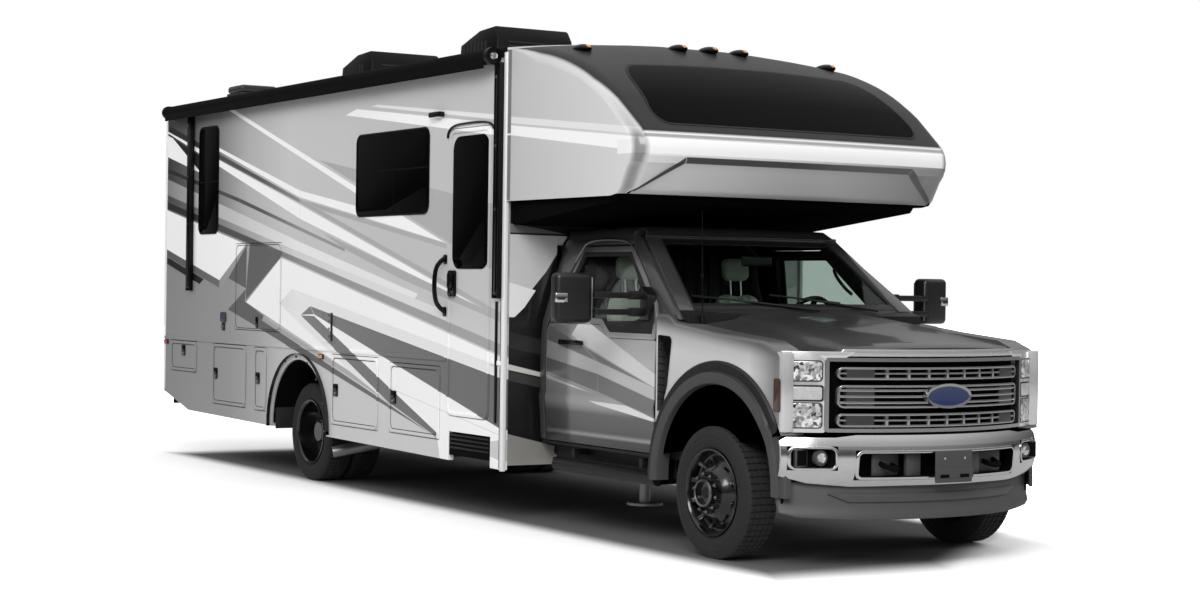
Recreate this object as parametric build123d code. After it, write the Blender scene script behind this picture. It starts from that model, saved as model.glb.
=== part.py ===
from build123d import *
import os

os.makedirs("parts", exist_ok=True)

# A cab-over-bunk motorhome on a two-axle truck chassis. Millimetres, +Z up, ground at z = 0.
# The front faces -Y and +X is the driver's side. While the pieces are made, y is measured
# back from the front axle; save() moves each one so that the origin is at mid-length.

# ---------------------------------------------------------------- driving dimensions
WHEELBASE = 5690
FRONT_END = -1020
REAR_END = 8900
MID_Y = (FRONT_END + REAR_END) / 2

TYRE_R = 405
TYRE_HALF = 113         # half the tyre's width
BEAD_R = 262
RIM_HALF = 98
FRONT_WHEEL_X = 945
REAR_OUTER_X = 1065
REAR_INNER_X = 811
AXLE_Z = TYRE_R

COACH_HALF = 1285
WALL = 40
COACH_FRONT = 2205
COACH_REAR = 8880
FLOOR_TOP = 1100
FLOOR_T = 60
SIDE_TOP = 3270
ROOF_EDGE = 3300
ROOF_CROWN = 3385
SKIRT_FRONT_Z = 370
SKIRT_SLOPE = 0.0125
SKIRT_TAIL_Z = 598

CAB_HALF = 1010
CAB_BACK = 2160
CAB_SILL = 560
CAB_FLOOR = 905
BELT_Z = 1395
RAIL_Z = 1965
CAB_ROOF_Z = 2055

GAP = 6                 # between a door and its frame
DOOR_T = 30
FRAME_X = 355           # inner face of a chassis rail
FRAME_Z = 640


# ---------------------------------------------------------------- plain shapes
def block(x0, x1, y0, y1, z0, z1):
    """Box between two corners."""
    centre = Pos((x0 + x1) / 2, (y0 + y1) / 2, (z0 + z1) / 2)
    return centre * Box(abs(x1 - x0), abs(y1 - y0), abs(z1 - z0))


def outline(*points):
    """Flat face with straight edges."""
    return make_face(Polyline(*points, close=True))


def panel(a0, a1, b0, b1):
    """Square-cornered rectangle between two corners."""
    return Pos((a0 + a1) / 2, (b0 + b1) / 2) * Rectangle(a1 - a0, b1 - b0)


def window(a0, a1, b0, b1, r):
    """Rounded rectangle between two corners."""
    return Pos((a0 + a1) / 2, (b0 + b1) / 2) * RectangleRounded(a1 - a0, b1 - b0, r)


def along_x(face, x0, x1):
    """Solid with a (y, z) outline between two x values."""
    return Pos(x0, 0, 0) * extrude(Plane.YZ * face, amount=x1 - x0, dir=(1, 0, 0))


def along_y(face, y0, y1):
    """Solid with an (x, z) outline between two y values."""
    plane = Plane(origin=(0, y0, 0), x_dir=(1, 0, 0), z_dir=(0, -1, 0))
    return extrude(plane * face, amount=y1 - y0, dir=(0, 1, 0))


def along_z(face, z0, z1):
    """Solid with an (x, y) outline between two heights."""
    return Pos(0, 0, z0) * extrude(face, amount=z1 - z0, dir=(0, 0, 1))


def rod_x(r, x0, x1, y, z):
    return Pos((x0 + x1) / 2, y, z) * Rot(0, 90, 0) * Cylinder(r, abs(x1 - x0))


def rod_y(r, y0, y1, x, z):
    return Pos(x, (y0 + y1) / 2, z) * Rot(90, 0, 0) * Cylinder(r, abs(y1 - y0))


def rod_z(r, z0, z1, x, y):
    return Pos(x, y, (z0 + z1) / 2) * Cylinder(r, abs(z1 - z0))


def turned(points, x, y, z):
    """Ring turned about a wheel's axle; points are (radius, distance outboard)."""
    face = make_face(Polyline(*[(out, r) for r, out in points], close=True))
    return Pos(x, y, z) * revolve(face, axis=Axis.X)


def mirrored(shape):
    return mirror(shape, about=Plane.YZ)


def save(name, *shapes):
    """Write one node, moved so that the origin is at mid-length."""
    solids = [solid for shape in shapes for solid in shape.solids()]
    body = solids[0] if len(solids) == 1 else Compound(solids)
    export_step(Pos(0, -MID_Y, 0) * body, f"parts/{name}.step")


def skirt_z(y):
    """Height of the skirt's lower edge, which rises towards the rear."""
    return SKIRT_FRONT_Z + SKIRT_SLOPE * (y - COACH_FRONT)


# ---------------------------------------------------------------- wheels
# Sections are lists of (radius, distance outboard of the wheel's middle), turned about the axle.
# A tyre and a rim barrel are symmetric, so only their outboard half is listed.
TYRE_SIDE = [(BEAD_R, 84), (270, 86), (300, 106), (350, TYRE_HALF), (385, 108), (TYRE_R, 86)]
BARREL_OUTSIDE = [(258, 86), (268, 90), (268, RIM_HALF)]
BARREL_INSIDE = [(246, RIM_HALF), (240, 70)]
SPINDLE_R = 35
HUB_BORE = SPINDLE_R + 0.05

# A front disc bulges outboard around its hub; a twin wheel's discs meet back to back at mid-way.
FRONT_FACE = 120
FRONT_DISC = [(244, 10), (225, 40), (170, FRONT_FACE), (60, FRONT_FACE), (60, FRONT_FACE - 14),
              (165, FRONT_FACE - 14), (212, 30), (240, -10)]
FRONT_HUB_OUT, FRONT_HUB_R, HUB_BACK = 185, 72, -38
FRONT_HUB = [(HUB_BORE, HUB_BACK), (HUB_BORE, FRONT_HUB_OUT - 30), (0, FRONT_HUB_OUT - 30),
             (0, FRONT_HUB_OUT), (FRONT_HUB_R - 12, FRONT_HUB_OUT), (FRONT_HUB_R, FRONT_HUB_OUT - 20),
             (FRONT_HUB_R, HUB_BACK)]
TWIN_MID_X = (REAR_INNER_X + REAR_OUTER_X) / 2
TWIN_FACE = TWIN_MID_X - REAR_OUTER_X
TWIN_DISC = [(244, -40), (225, -60), (170, TWIN_FACE + 12), (60, TWIN_FACE + 12), (60, TWIN_FACE),
             (170, TWIN_FACE), (230, -72), (240, -68)]
REAR_HUB = [(HUB_BORE, -60), (HUB_BORE, 110), (0, 110), (0, 145), (60, 145), (78, 120), (78, 60),
            (110, 60), (110, -60)]


def both_halves(half):
    """Whole section from its outboard half."""
    return [(r, -out) for r, out in reversed(half)] + half


def wheel_part(section, x, y=0):
    return turned(section, x, y, AXLE_Z)


def barrel(x, y=0):
    outside, inside = both_halves(BARREL_OUTSIDE), both_halves(BARREL_INSIDE[::-1])
    return wheel_part(outside + inside[::-1], x, y)


TYRE_SECTION = both_halves(TYRE_SIDE)
front_tyre = wheel_part(TYRE_SECTION, FRONT_WHEEL_X)
front_rim = barrel(FRONT_WHEEL_X) + wheel_part(FRONT_DISC, FRONT_WHEEL_X) + wheel_part(FRONT_HUB, FRONT_WHEEL_X)

rear_tyres = [wheel_part(TYRE_SECTION, x, WHEELBASE) for x in (REAR_INNER_X, REAR_OUTER_X)]
inner_disc = [(r, -out) for r, out in TWIN_DISC]
rear_rims = barrel(REAR_OUTER_X, WHEELBASE) + wheel_part(TWIN_DISC, REAR_OUTER_X, WHEELBASE)
rear_rims += barrel(REAR_INNER_X, WHEELBASE) + wheel_part(inner_disc, REAR_INNER_X, WHEELBASE)
rear_rims += wheel_part(REAR_HUB, TWIN_MID_X, WHEELBASE)

save("front_tyre_left", front_tyre)
save("front_tyre_right", mirrored(front_tyre))
save("front_rim_left", front_rim)
save("front_rim_right", mirrored(front_rim))
save("rear_tyres_left", *rear_tyres)
save("rear_tyres_right", *[mirrored(t) for t in rear_tyres])
save("rear_rims_left", rear_rims)
save("rear_rims_right", mirrored(rear_rims))

# ---------------------------------------------------------------- steering and axles
# A forged yoke on a kingpin carries each front spindle; the axle beam's eye sits inside the yoke.
KINGPIN_X = 840
KINGPIN_R = 20
PIN_FIT = 0.05
EYE_R = 42
YOKE_LOW, YOKE_HIGH = 310, 500
EAR_T = 30
WEB_X0, WEB_X1 = 888, 902
BEAM_LOW, BEAM_HIGH = 365, 445
SPRING_X0, SPRING_X1 = 475, 550
PAD_TOP = 520

spindle = rod_x(SPINDLE_R, WEB_X0 + 7, FRONT_WHEEL_X + 150, 0, AXLE_Z)
knuckle = spindle + block(WEB_X0, WEB_X1, -45, 45, YOKE_LOW, YOKE_HIGH)
for z in (YOKE_LOW, YOKE_HIGH - EAR_T):
    knuckle += block(KINGPIN_X - 30, WEB_X1, -35, 35, z, z + EAR_T)
knuckle += rod_z(KINGPIN_R, YOKE_LOW + 5, YOKE_HIGH - 5, KINGPIN_X, 0)
save("steering_knuckle_left", knuckle)
save("steering_knuckle_right", mirrored(knuckle))


def spring_pads(axle_y):
    return [block(s * SPRING_X0, s * SPRING_X1, axle_y - 60, axle_y + 60, BEAM_HIGH - 5, PAD_TOP)
            for s in (-1, 1)]


eye = rod_z(EYE_R, YOKE_LOW + EAR_T + 6, YOKE_HIGH - EAR_T - 6, KINGPIN_X, 0)
pin_bore = rod_z(KINGPIN_R + PIN_FIT, YOKE_LOW, YOKE_HIGH, KINGPIN_X, 0)
beam = block(-KINGPIN_X, KINGPIN_X, -34, 34, BEAM_LOW, BEAM_HIGH) + eye + mirrored(eye)
save("front_axle", beam + spring_pads(0) - pin_bore - mirrored(pin_bore))

# The driven rear axle: one tube with a round gear housing, and the drive shaft up to the gearbox.
axle_tube = rod_x(58, -640, 640, WHEELBASE, AXLE_Z)
rear_spindle = rod_x(SPINDLE_R, 600, TWIN_MID_X + 102, WHEELBASE, AXLE_Z)
gear_housing = Pos(0, WHEELBASE, AXLE_Z) * Sphere(165)
drive_shaft = rod_y(42, 1250, WHEELBASE - 100, 0, 470)
rear_axle = axle_tube + rear_spindle + mirrored(rear_spindle) + gear_housing + drive_shaft
save("rear_axle", rear_axle + spring_pads(WHEELBASE))

# Leaf spring packs hang outside the rails from hanger blocks at both ends.
SPRING_HALF = 620
# Half of a pack's side outline: distance from the axle, underside, top.
LEAF = [(60, PAD_TOP, 575), (300, 545, 590), (SPRING_HALF, 640, 670)]
springs = []
for axle_y in (0, WHEELBASE):
    under = [(axle_y - d, low) for d, low, _ in reversed(LEAF)] + [(axle_y + d, low) for d, low, _ in LEAF]
    over = [(axle_y + d, top) for d, _, top in reversed(LEAF)] + [(axle_y - d, top) for d, _, top in LEAF]
    hangers = [block(430, SPRING_X1, axle_y + s * SPRING_HALF - 35, axle_y + s * SPRING_HALF + 35, 620, 700)
               for s in (-1, 1)]
    pack = along_x(outline(*under, *over), SPRING_X0, SPRING_X1) + hangers
    springs += [pack, mirrored(pack)]
save("leaf_springs", *springs)

# ---------------------------------------------------------------- chassis
# Two rails with crossmembers between their webs; floor bearers lie on the rails' top flanges.
RAIL_OUT_X = 430
RAIL_TOP = 850
RAIL_ENDS = (-820, 8600)
CROSSMEMBER_Y = (-780, 500, 1380, 2260, 3140, 4020, 4900, 5780, 6660, 7540, 8560)
BEARER_Y = (2400, 3300, 4300, 5200, 6200, 7200, 8300)
rail = block(FRAME_X, RAIL_OUT_X, *RAIL_ENDS, FRAME_Z, RAIL_TOP)
save("frame_rails", rail, mirrored(rail))

crossmembers = [block(-FRAME_X, FRAME_X, y - 40, y + 40, 680, 810) for y in CROSSMEMBER_Y]
bearers = [block(-540, 540, y - 35, y + 35, RAIL_TOP, FLOOR_TOP - FLOOR_T) for y in BEARER_Y]
save("frame_crossmembers", *crossmembers, *bearers)

# The hitch receiver is a square tube under a cross tube that is bolted up to both rails.
RECEIVER = 51           # square inside
RECEIVER_Z = 538
RECEIVER_PIN_R = 8
RECEIVER_END = REAR_END - 30
half_out, half_in = 38, RECEIVER / 2
hitch = block(-RAIL_OUT_X, RAIL_OUT_X, 8420, 8500, 560, FRAME_Z)
hitch += block(-half_out, half_out, 8440, RECEIVER_END, RECEIVER_Z - half_out, RECEIVER_Z + half_out)
hitch -= block(-half_in, half_in, 8520, REAR_END, RECEIVER_Z - half_in, RECEIVER_Z + half_in)
hitch -= rod_x(RECEIVER_PIN_R, -60, 60, REAR_END - 100, RECEIVER_Z)
save("hitch_receiver", hitch)

save("engine_block", block(-330, 330, -450, 400, 560, 1150))
save("fuel_tank", block(445, 680, 2320, 3080, 520, 800))

# The tail pipe leaves the muffler and turns outward and down, to end ahead of the rear wheel.
PIPE_R, TAIL_R = 38, 46
TAIL_BEND, TAIL_END = Vector(-600, 4940, 400), Vector(-1205, 5175, 275)
muffler = rod_y(95, 4100, 4900, -600, 430)
lead = rod_y(PIPE_R, 700, 4150, -600, 430) + rod_x(PIPE_R, -638, -150, 700, 430)
tail_way = TAIL_END - TAIL_BEND
tail = Pos(0, 0, tail_way.length / 2) * Cylinder(TAIL_R, tail_way.length)
tail = Plane(origin=TAIL_BEND, z_dir=tail_way) * tail
tail += Pos(TAIL_BEND) * Sphere(TAIL_R) + rod_y(TAIL_R, 4850, TAIL_BEND.Y, TAIL_BEND.X, TAIL_BEND.Z)
save("exhaust_pipe", muffler + lead + tail)

# ---------------------------------------------------------------- coach side walls
# A compartment door: name, side (-1 entry side, 1 driver's side), y0, y1, z0, z1, hinge edge.
DOORS = [
    ("front_compartment_door", -1, 3150, 3985, 520, 1050, "front"),
    ("middle_compartment_door", -1, 4180, 5040, 515, 1075, "front"),
    ("narrow_compartment_door", -1, 6380, 6645, 540, 1080, "front"),
    ("rear_compartment_door", -1, 6835, 7620, 545, 1085, "front"),
    ("cord_hatch", -1, 8025, 8690, 805, 1085, "bottom"),
    ("upper_utility_door", -1, 6090, 7105, 1230, 1985, "top"),
    ("driver_side_front_door", 1, 3150, 3985, 520, 1050, "front"),
    ("driver_side_rear_door", 1, 6835, 7620, 545, 1085, "front"),
]
# Side windows: side, y0, y1, z0, z1.
WINDOWS = [
    (-1, 7550, 8000, 2100, 3050),
    (-1, 3380, 4600, 2190, 2800),
    (1, 7550, 8000, 2100, 3050),
    (1, 5300, 6500, 2190, 2800),
    (1, 2700, 3900, 2190, 2800),
]
ENTRY_DOOR = (2405, 3040, 705, 2775)
STEP = (2385, 2995, 400, 590)
WELL_R, WELL_Z = 560, 450       # round rear wheel opening, centred a little above the axle
# Above the floor the side is one laminated wall. The skirt below it is in panels with narrow
# joints: ahead of the wheel arch, around it, and behind it.
JOINT = 1.5
SKIRT_TOP = FLOOR_TOP - 1
ARCH_PANEL = (WHEELBASE - 632, WHEELBASE + 632)


def wheel_arch():
    """Face of the rear wheel opening: a half round over upright sides."""
    front, back = WHEELBASE - WELL_R, WHEELBASE + WELL_R
    edges = ThreePointArc((back, WELL_Z), (WHEELBASE, WELL_Z + WELL_R), (front, WELL_Z))
    edges += Polyline((front, WELL_Z), (front, 200), (back, 200), (back, WELL_Z))
    return make_face(edges)


def side_wall(side):
    """One side wall and its skirt panels, with the windows, doorway and hatches cut out."""
    x0, x1 = (-COACH_HALF, -COACH_HALF + WALL) if side < 0 else (COACH_HALF - WALL, COACH_HALF)
    face = outline((COACH_FRONT, skirt_z(COACH_FRONT)), (8230, skirt_z(8230)),
                   (COACH_REAR, SKIRT_TAIL_Z), (COACH_REAR, SIDE_TOP), (COACH_FRONT, SIDE_TOP))
    face -= wheel_arch() + panel(COACH_FRONT, COACH_REAR, SKIRT_TOP, SKIRT_TOP + JOINT)
    for y in ARCH_PANEL:
        face -= panel(y, y + JOINT, SKIRT_FRONT_Z, SKIRT_TOP)
    for where, y0, y1, z0, z1 in WINDOWS:
        if where == side:
            face -= window(y0, y1, z0, z1, 60)
    for _, where, y0, y1, z0, z1, _ in DOORS:
        if where == side:
            face -= window(y0 - GAP, y1 + GAP, z0 - GAP, z1 + GAP, 20)
    if side < 0:
        y0, y1, z0, z1 = ENTRY_DOOR
        face -= window(y0 - GAP, y1 + GAP, z0 - GAP, z1 + GAP, 70)
        y0, y1, _, z1 = STEP
        face -= panel(y0 - GAP, y1 + GAP, 300, z1)
    return along_x(face, x0, x1)


save("entry_side_wall", side_wall(-1))
save("driver_side_wall", side_wall(1))

for name, side, y0, y1, z0, z1, _ in DOORS:
    x0, x1 = (-COACH_HALF, -COACH_HALF + DOOR_T) if side < 0 else (COACH_HALF - DOOR_T, COACH_HALF)
    save(name, along_x(window(y0, y1, z0, z1, 16), x0, x1))

y0, y1, z0, z1 = ENTRY_DOOR
door_face = window(y0, y1, z0, z1, 66) - window(y0 + 75, y1 - 90, 1790, 2660, 90)
save("entry_door", along_x(door_face, -COACH_HALF, -COACH_HALF + WALL))

glass = []
for side, y0, y1, z0, z1 in WINDOWS:
    x0, x1 = (-COACH_HALF + 4, -COACH_HALF + 12) if side < 0 else (COACH_HALF - 12, COACH_HALF - 4)
    glass.append(along_x(window(y0, y1, z0, z1, 60), x0, x1))

# ---------------------------------------------------------------- floor, ends and roof
INNER = COACH_HALF - WALL
WELL = (-INNER, -760, 2376, 3050)
floor = block(-INNER, INNER, COACH_FRONT + WALL, COACH_REAR - WALL, FLOOR_TOP - FLOOR_T, FLOOR_TOP)
floor += block(-860, 860, CAB_BACK + 5, COACH_FRONT + WALL, FLOOR_TOP - FLOOR_T, FLOOR_TOP)
x0, x1, y0, y1 = WELL
floor -= block(x0, x1, y0, y1, FLOOR_TOP - FLOOR_T, FLOOR_TOP)
well = block(x0, x1 + 20, y0 - 20, y1 + 20, 672, FLOOR_TOP - FLOOR_T)
well -= block(x0 - 10, x1, y0, y1, 692, FLOOR_TOP)
tread = block(x1 - 250, x1, y0, y1, 692, 890) - block(x1 - 230, x1, y0 + 20, y1 - 20, 692, 870)
guides = [block(-INNER, -940, y, y + 20, STEP[2], 672) for y in (STEP[0] - 28, STEP[1] + 8)]
save("coach_floor", floor + well + tread + guides)

REAR_WINDOW = (-550, 550, 2150, 2650)
rear_face = outline((-INNER, SKIRT_TAIL_Z), (INNER, SKIRT_TAIL_Z), (INNER, SIDE_TOP),
                    (-INNER, SIDE_TOP)) - window(*REAR_WINDOW, 60)
save("rear_wall", along_y(rear_face, COACH_REAR - WALL, COACH_REAR))
glass.append(along_y(window(*REAR_WINDOW, 60), COACH_REAR - 12, COACH_REAR - 4))

# The front wall closes the coach beside and above the cab. It is framed from flat panels with
# narrow joints: a cheek and a jamb each side, a beam over the cab opening and a header over the bunk's.
CAB_OPENING_HALF, CAB_OPENING_TOP = 865, 1940
BUNK_OPENING_HALF, BUNK_OPENING_LOW, BUNK_OPENING_TOP = 1080, 2330, 3130
CHEEK_LOW = 400
front_cheek = panel(CAB_OPENING_HALF, INNER, CHEEK_LOW, BUNK_OPENING_LOW - JOINT)
front_jamb = panel(BUNK_OPENING_HALF, INNER, BUNK_OPENING_LOW, SIDE_TOP)
beam_half, header_half = CAB_OPENING_HALF - JOINT, BUNK_OPENING_HALF - JOINT
front_beam = panel(-beam_half, beam_half, CAB_OPENING_TOP, BUNK_OPENING_LOW - JOINT)
front_header = panel(-header_half, header_half, BUNK_OPENING_TOP, SIDE_TOP)
front_panels = [along_y(face, COACH_FRONT, COACH_FRONT + WALL)
                for face in (front_cheek, front_jamb, front_beam, front_header)]
save("front_wall", *front_panels, *[mirrored(solid) for solid in front_panels[:2]])


def crowned(y0, y1):
    """Roof panel: an arched skin that rests on the side walls' top edges."""
    top = Polyline((-COACH_HALF, SIDE_TOP), (-COACH_HALF, ROOF_EDGE))
    top += ThreePointArc((-COACH_HALF, ROOF_EDGE), (0, ROOF_CROWN), (COACH_HALF, ROOF_EDGE))
    top += Polyline((COACH_HALF, ROOF_EDGE), (COACH_HALF, SIDE_TOP), (INNER, SIDE_TOP))
    top += ThreePointArc((INNER, SIDE_TOP), (0, ROOF_CROWN - 45), (-INNER, SIDE_TOP))
    top += Line((-INNER, SIDE_TOP), (-COACH_HALF, SIDE_TOP))
    return along_y(make_face(top), y0, y1)


save("coach_roof", crowned(COACH_FRONT, COACH_REAR))

# ---------------------------------------------------------------- cab-over bunk cap
CAP_BOTTOM = 2235
NOSE_Y = 330


def cap_volume(t):
    """The cap's outer shape, or the same drawn in by t for its hollow."""
    side = ThreePointArc((COACH_FRONT, 3285 - t), (1480, 3186 - t), (800 + t / 2, 2862 - t))
    side += Line((800 + t / 2, 2862 - t), (560 + t, 2665 - t / 2))
    side += ThreePointArc((560 + t, 2665 - t / 2), (496 + t, 2520), (562 + t, 2386))
    side += Polyline((562 + t, 2386), (640 + t, 2262 + t / 2), (720 + t, CAP_BOTTOM + t),
                     (COACH_FRONT, CAP_BOTTOM + t), (COACH_FRONT, 3285 - t))
    half = COACH_HALF - t
    plan = Polyline((-half, COACH_FRONT), (-half, 1100), (-half + 45 - t / 3, 560 + t))
    plan += ThreePointArc((-half + 45 - t / 3, 560 + t), (0, NOSE_Y + t), (half - 45 + t / 3, 560 + t))
    plan += Polyline((half - 45 + t / 3, 560 + t), (half, 1100), (half, COACH_FRONT), (-half, COACH_FRONT))
    front = outline((-half, CAP_BOTTOM - 50), (half, CAP_BOTTOM - 50), (half, 3170 - t),
                    (half - 55, 3290 - t), (0, 3390 - t), (-half + 55, 3290 - t), (-half, 3170 - t))
    return (along_x(make_face(side), -half, half) & along_z(make_face(plan), CAP_BOTTOM - 60, 3500)
            & along_y(front, 200, COACH_FRONT))


CAP_WINDOW = [(-930, 2740), (930, 2740), (720, 3040), (-720, 3040)]
cap_shell = cap_volume(0) - cap_volume(35)
cap_cut = along_y(outline(*CAP_WINDOW), 300, 1500)
save("cabover_cap", cap_shell - cap_cut)
glass.append((cap_volume(4) - cap_volume(12)) & cap_cut)
save("coach_windows", *glass)

# ---------------------------------------------------------------- cab
def cab_volume(t):
    """The cab's outer shape, or the same drawn in by t for its hollow."""
    floor_z = CAB_FLOOR if t else CAB_SILL
    side = outline((420 + t, floor_z), (420 + t, 1480), (540 + 1.6 * t, 1510), (1215 + t, 1995 - t),
                   (1420, CAB_ROOF_Z - t), (CAB_BACK, CAB_ROOF_Z - t), (CAB_BACK, floor_z))
    half = CAB_HALF - t
    front = outline((-half + 20, floor_z), (half - 20, floor_z), (half, 900), (half - 15, BELT_Z),
                    (half - 205, RAIL_Z), (half - 300, CAB_ROOF_Z - t), (-half + 300, CAB_ROOF_Z - t),
                    (-half + 205, RAIL_Z), (-half + 15, BELT_Z), (-half, 900))
    return along_x(side, -half, half) & along_y(front, 300, CAB_BACK)


# Door outline in (y, z); grown by a margin it is the doorway. The rear upper edge leans more,
# because the frame swings back a little as the door opens.
def cab_door_outline(m):
    return outline((705 - m, 585 - m), (2075 + m, 585 - m), (2085 + m, 1345), (1890 + 3.2 * m, RAIL_Z - 40 + m),
                   (1250 - m, RAIL_Z - 40 + m), (760 - m, 1540 + m), (705 - m, 1440))


CAB_DOOR_WINDOW = [(830, 1440), (2010, 1400), (1850, 1880), (1290, 1880)]
WINDSHIELD = [(-835, 1540), (835, 1540), (690, 1960), (-690, 1960)]
lower_cut = along_x(cab_door_outline(GAP), 935, 1100)
upper_cut = along_x(cab_door_outline(GAP), 500, 1100) & block(400, 1200, 0, 2300, BELT_Z, 2300)
cowl_side = block(945, 1100, 300, 699, 400, 1520)
doorway = lower_cut + upper_cut + cowl_side
cab = cab_volume(0) - cab_volume(45) - doorway - mirrored(doorway)
cab -= along_y(outline(*WINDSHIELD), 300, 1400)
cab -= block(-840, 840, CAB_BACK - 60, CAB_BACK + 10, FLOOR_TOP, 1940)
cab -= block(-800, 800, 300, CAB_BACK + 10, CAB_SILL - 10, CAB_FLOOR - 40)
save("cab_body", cab)

door_skin = cab_volume(0) - cab_volume(55)
door_space = block(950, 1100, 600, 2200, 500, BELT_Z + 10) + block(500, 1100, 600, 2200, BELT_Z, 2000)
door = door_skin & door_space & along_x(cab_door_outline(0), 500, 1100)
door -= along_x(outline(*CAB_DOOR_WINDOW), 500, 1100)
save("cab_door_left", door)
save("cab_door_right", mirrored(door))

glass_side = outline((560, 1520), (1205, 1980), (1214, 1975), (570, 1515))
save("windshield", along_x(glass_side, -900, 900) & along_y(outline(*WINDSHIELD), 300, 1400))

# ---------------------------------------------------------------- nose of the cab
ARCH_R = 760            # fender opening, filled by the flare
ARCH_Y, ARCH_Z = -20, 450
fender_outline = outline((-640, 860), (-640, 1290), (-470, 1352), (50, 1385), (480, 1432),
                         (560, 1500), (698, 1500), (698, CAB_SILL + 20), (-300, CAB_SILL + 20))
fender = along_x(fender_outline, 835, CAB_HALF)
fender -= along_x(fender_outline, 800, 960) & block(700, 960, -700, 697, 400, 1345)
fender -= block(800, 950, 412, 700, 400, 1600)
fender -= Pos(0, ARCH_Y, ARCH_Z) * Rot(0, 90, 0) * Cylinder(ARCH_R - 100, 2400)

# The nose is bowed in plan: its face falls back with the square of the distance from the middle.
NOSE_BOW = 0.00035
GRILLE_FRONT, GRILLE_HALF, GRILLE_T = -945, 765, 55
LAMP_IN, LAMP_OUT, LAMP_T = 768, 1008, 70
LAMP_GAP = 2
NOSE_Z = (830, 1248)


def nose_y(front, x):
    return front + NOSE_BOW * x * x


def nose_arc(front, x0, x1):
    """The nose's plan curve between two places across."""
    middle = (x0 + x1) / 2
    return ThreePointArc((x0, nose_y(front, x0)), (middle, nose_y(front, middle)), (x1, nose_y(front, x1)))


def nose_band(front, x0, x1, thick):
    """Plan face between the nose curve and the same curve set back."""
    edges = nose_arc(front, x0, x1) + Line((x1, nose_y(front, x1)), (x1, nose_y(front, x1) + thick))
    edges += nose_arc(front + thick, x1, x0)
    edges += Line((x0, nose_y(front, x0) + thick), (x0, nose_y(front, x0)))
    return make_face(edges)


lamp = along_z(nose_band(GRILLE_FRONT, LAMP_IN, LAMP_OUT, LAMP_T), *NOSE_Z)
lamp_space = nose_band(GRILLE_FRONT - 200, LAMP_IN, CAB_HALF + 5, LAMP_T + 200 + LAMP_GAP)
fender -= along_z(lamp_space, 400, 1600)
save("front_fenders", fender, mirrored(fender))
save("headlights", lamp, mirrored(lamp))
save("grille", along_z(nose_band(GRILLE_FRONT, -GRILLE_HALF, GRILLE_HALF, GRILLE_T), *NOSE_Z))


def hood_section(y, half, side_z, mid_z):
    """Crown of the hood at one station: an arc on top, the same arc 30 lower beneath."""
    edges = ThreePointArc((-half, side_z), (0, mid_z), (half, side_z))
    edges += Line((half, side_z), (half, side_z - 30))
    edges += ThreePointArc((half, side_z - 30), (0, mid_z - 30), (-half, side_z - 30))
    edges += Line((-half, side_z - 30), (-half, side_z))
    return Plane(origin=(0, y, 0), x_dir=(1, 0, 0), z_dir=(0, -1, 0)) * make_face(edges)


HOOD_LOW, HOOD_HIGH = 1200, 1600    # more than the hood's own height
# Stations down the hood: y, half width, height at the side, height at the middle.
HOOD = [(-900, 700, 1285, 1300), (-600, 815, 1298, 1360), (0, 825, 1392, 1440), (410, 829, 1432, 1490)]
hood = loft([hood_section(*row) for row in HOOD], ruled=True)
hood_lip, hood_back, hood_half = HOOD[0][0], HOOD[-1][0], HOOD[-1][1]
lip_end = nose_y(hood_lip, hood_half)
hood_plan = nose_arc(hood_lip, -hood_half, hood_half)
hood_plan += Polyline((hood_half, lip_end), (hood_half, hood_back), (-hood_half, hood_back),
                      (-hood_half, lip_end))
save("hood", hood & along_z(make_face(hood_plan), HOOD_LOW, HOOD_HIGH))


def nose_plan(front, side, back, half):
    """Plan face that wraps the nose: bowed front, ends carried back to y = back."""
    edges = ThreePointArc((-half, side), (0, front), (half, side))
    edges += Polyline((half, side), (half, back), (half - 60, back))
    edges += ThreePointArc((half - 60, back), (0, front + 80), (-half + 60, back))
    edges += Polyline((-half + 60, back), (-half, back), (-half, side))
    return make_face(edges)


# A plate bracket stands on the bumper's middle, with four holes through to the bumper's back.
PLATE = (-155, 155, 490, 670)
PLATE_HOLE_X, PLATE_HOLE_Z, PLATE_HOLE_R = 88.9, 60.325, 3.5
BUMPER_FRONT = -1000
bumper = along_z(nose_plan(BUMPER_FRONT, -655, -600, 1005), 505, 785)
x0, x1, z0, z1 = PLATE
bumper += block(x0, x1, FRONT_END, BUMPER_FRONT + 15, z0, z1)
for x in (-PLATE_HOLE_X, PLATE_HOLE_X):
    for z in (-PLATE_HOLE_Z, PLATE_HOLE_Z):
        bumper -= rod_y(PLATE_HOLE_R, FRONT_END, BUMPER_FRONT + 200, x, (z0 + z1) / 2 + z)
save("front_bumper", bumper)
save("front_valance", along_z(nose_plan(-975, -650, -600, 975), 305, 500))

# ---------------------------------------------------------------- mirrors, steps, jacks
arms = block(1000, 1400, 860, 885, 1585, 1610) + block(1000, 1400, 860, 885, 1480, 1505)
head = Pos(1490, 960, 1580) * Rot(0, 0, 12) * Box(250, 130, 320)
mount = block(900, 1020, 790, 890, 1455, 1625)
side_mirror = arms + head + mount - door - cab
save("mirror_left", side_mirror)
save("mirror_right", mirrored(side_mirror))

step_bar = rod_y(45, 690, 1960, 985, 425)
for y in (900, 1750):
    step_bar += block(430, 985, y - 20, y + 20, 500, 540) + block(430, 470, y - 20, y + 20, 500, 700)
    step_bar += block(945, 985, y - 20, y + 20, 425, 540)
save("running_boards", step_bar, mirrored(step_bar))

# Levelling jacks: place back from the front axle, height of the foot. The rear pair is drawn up.
JACKS = [(1590, 165), (8150, 500)]
jacks = []
for y, foot_z in JACKS:
    leg = rod_z(38, foot_z, 700, 500, y) + block(430, 560, y - 60, y + 60, 560, 700)
    leg += Pos(500, y, foot_z) * Cylinder(125, 16)
    jacks += [leg, mirrored(leg)]
save("levelling_jacks", *jacks)

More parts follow.
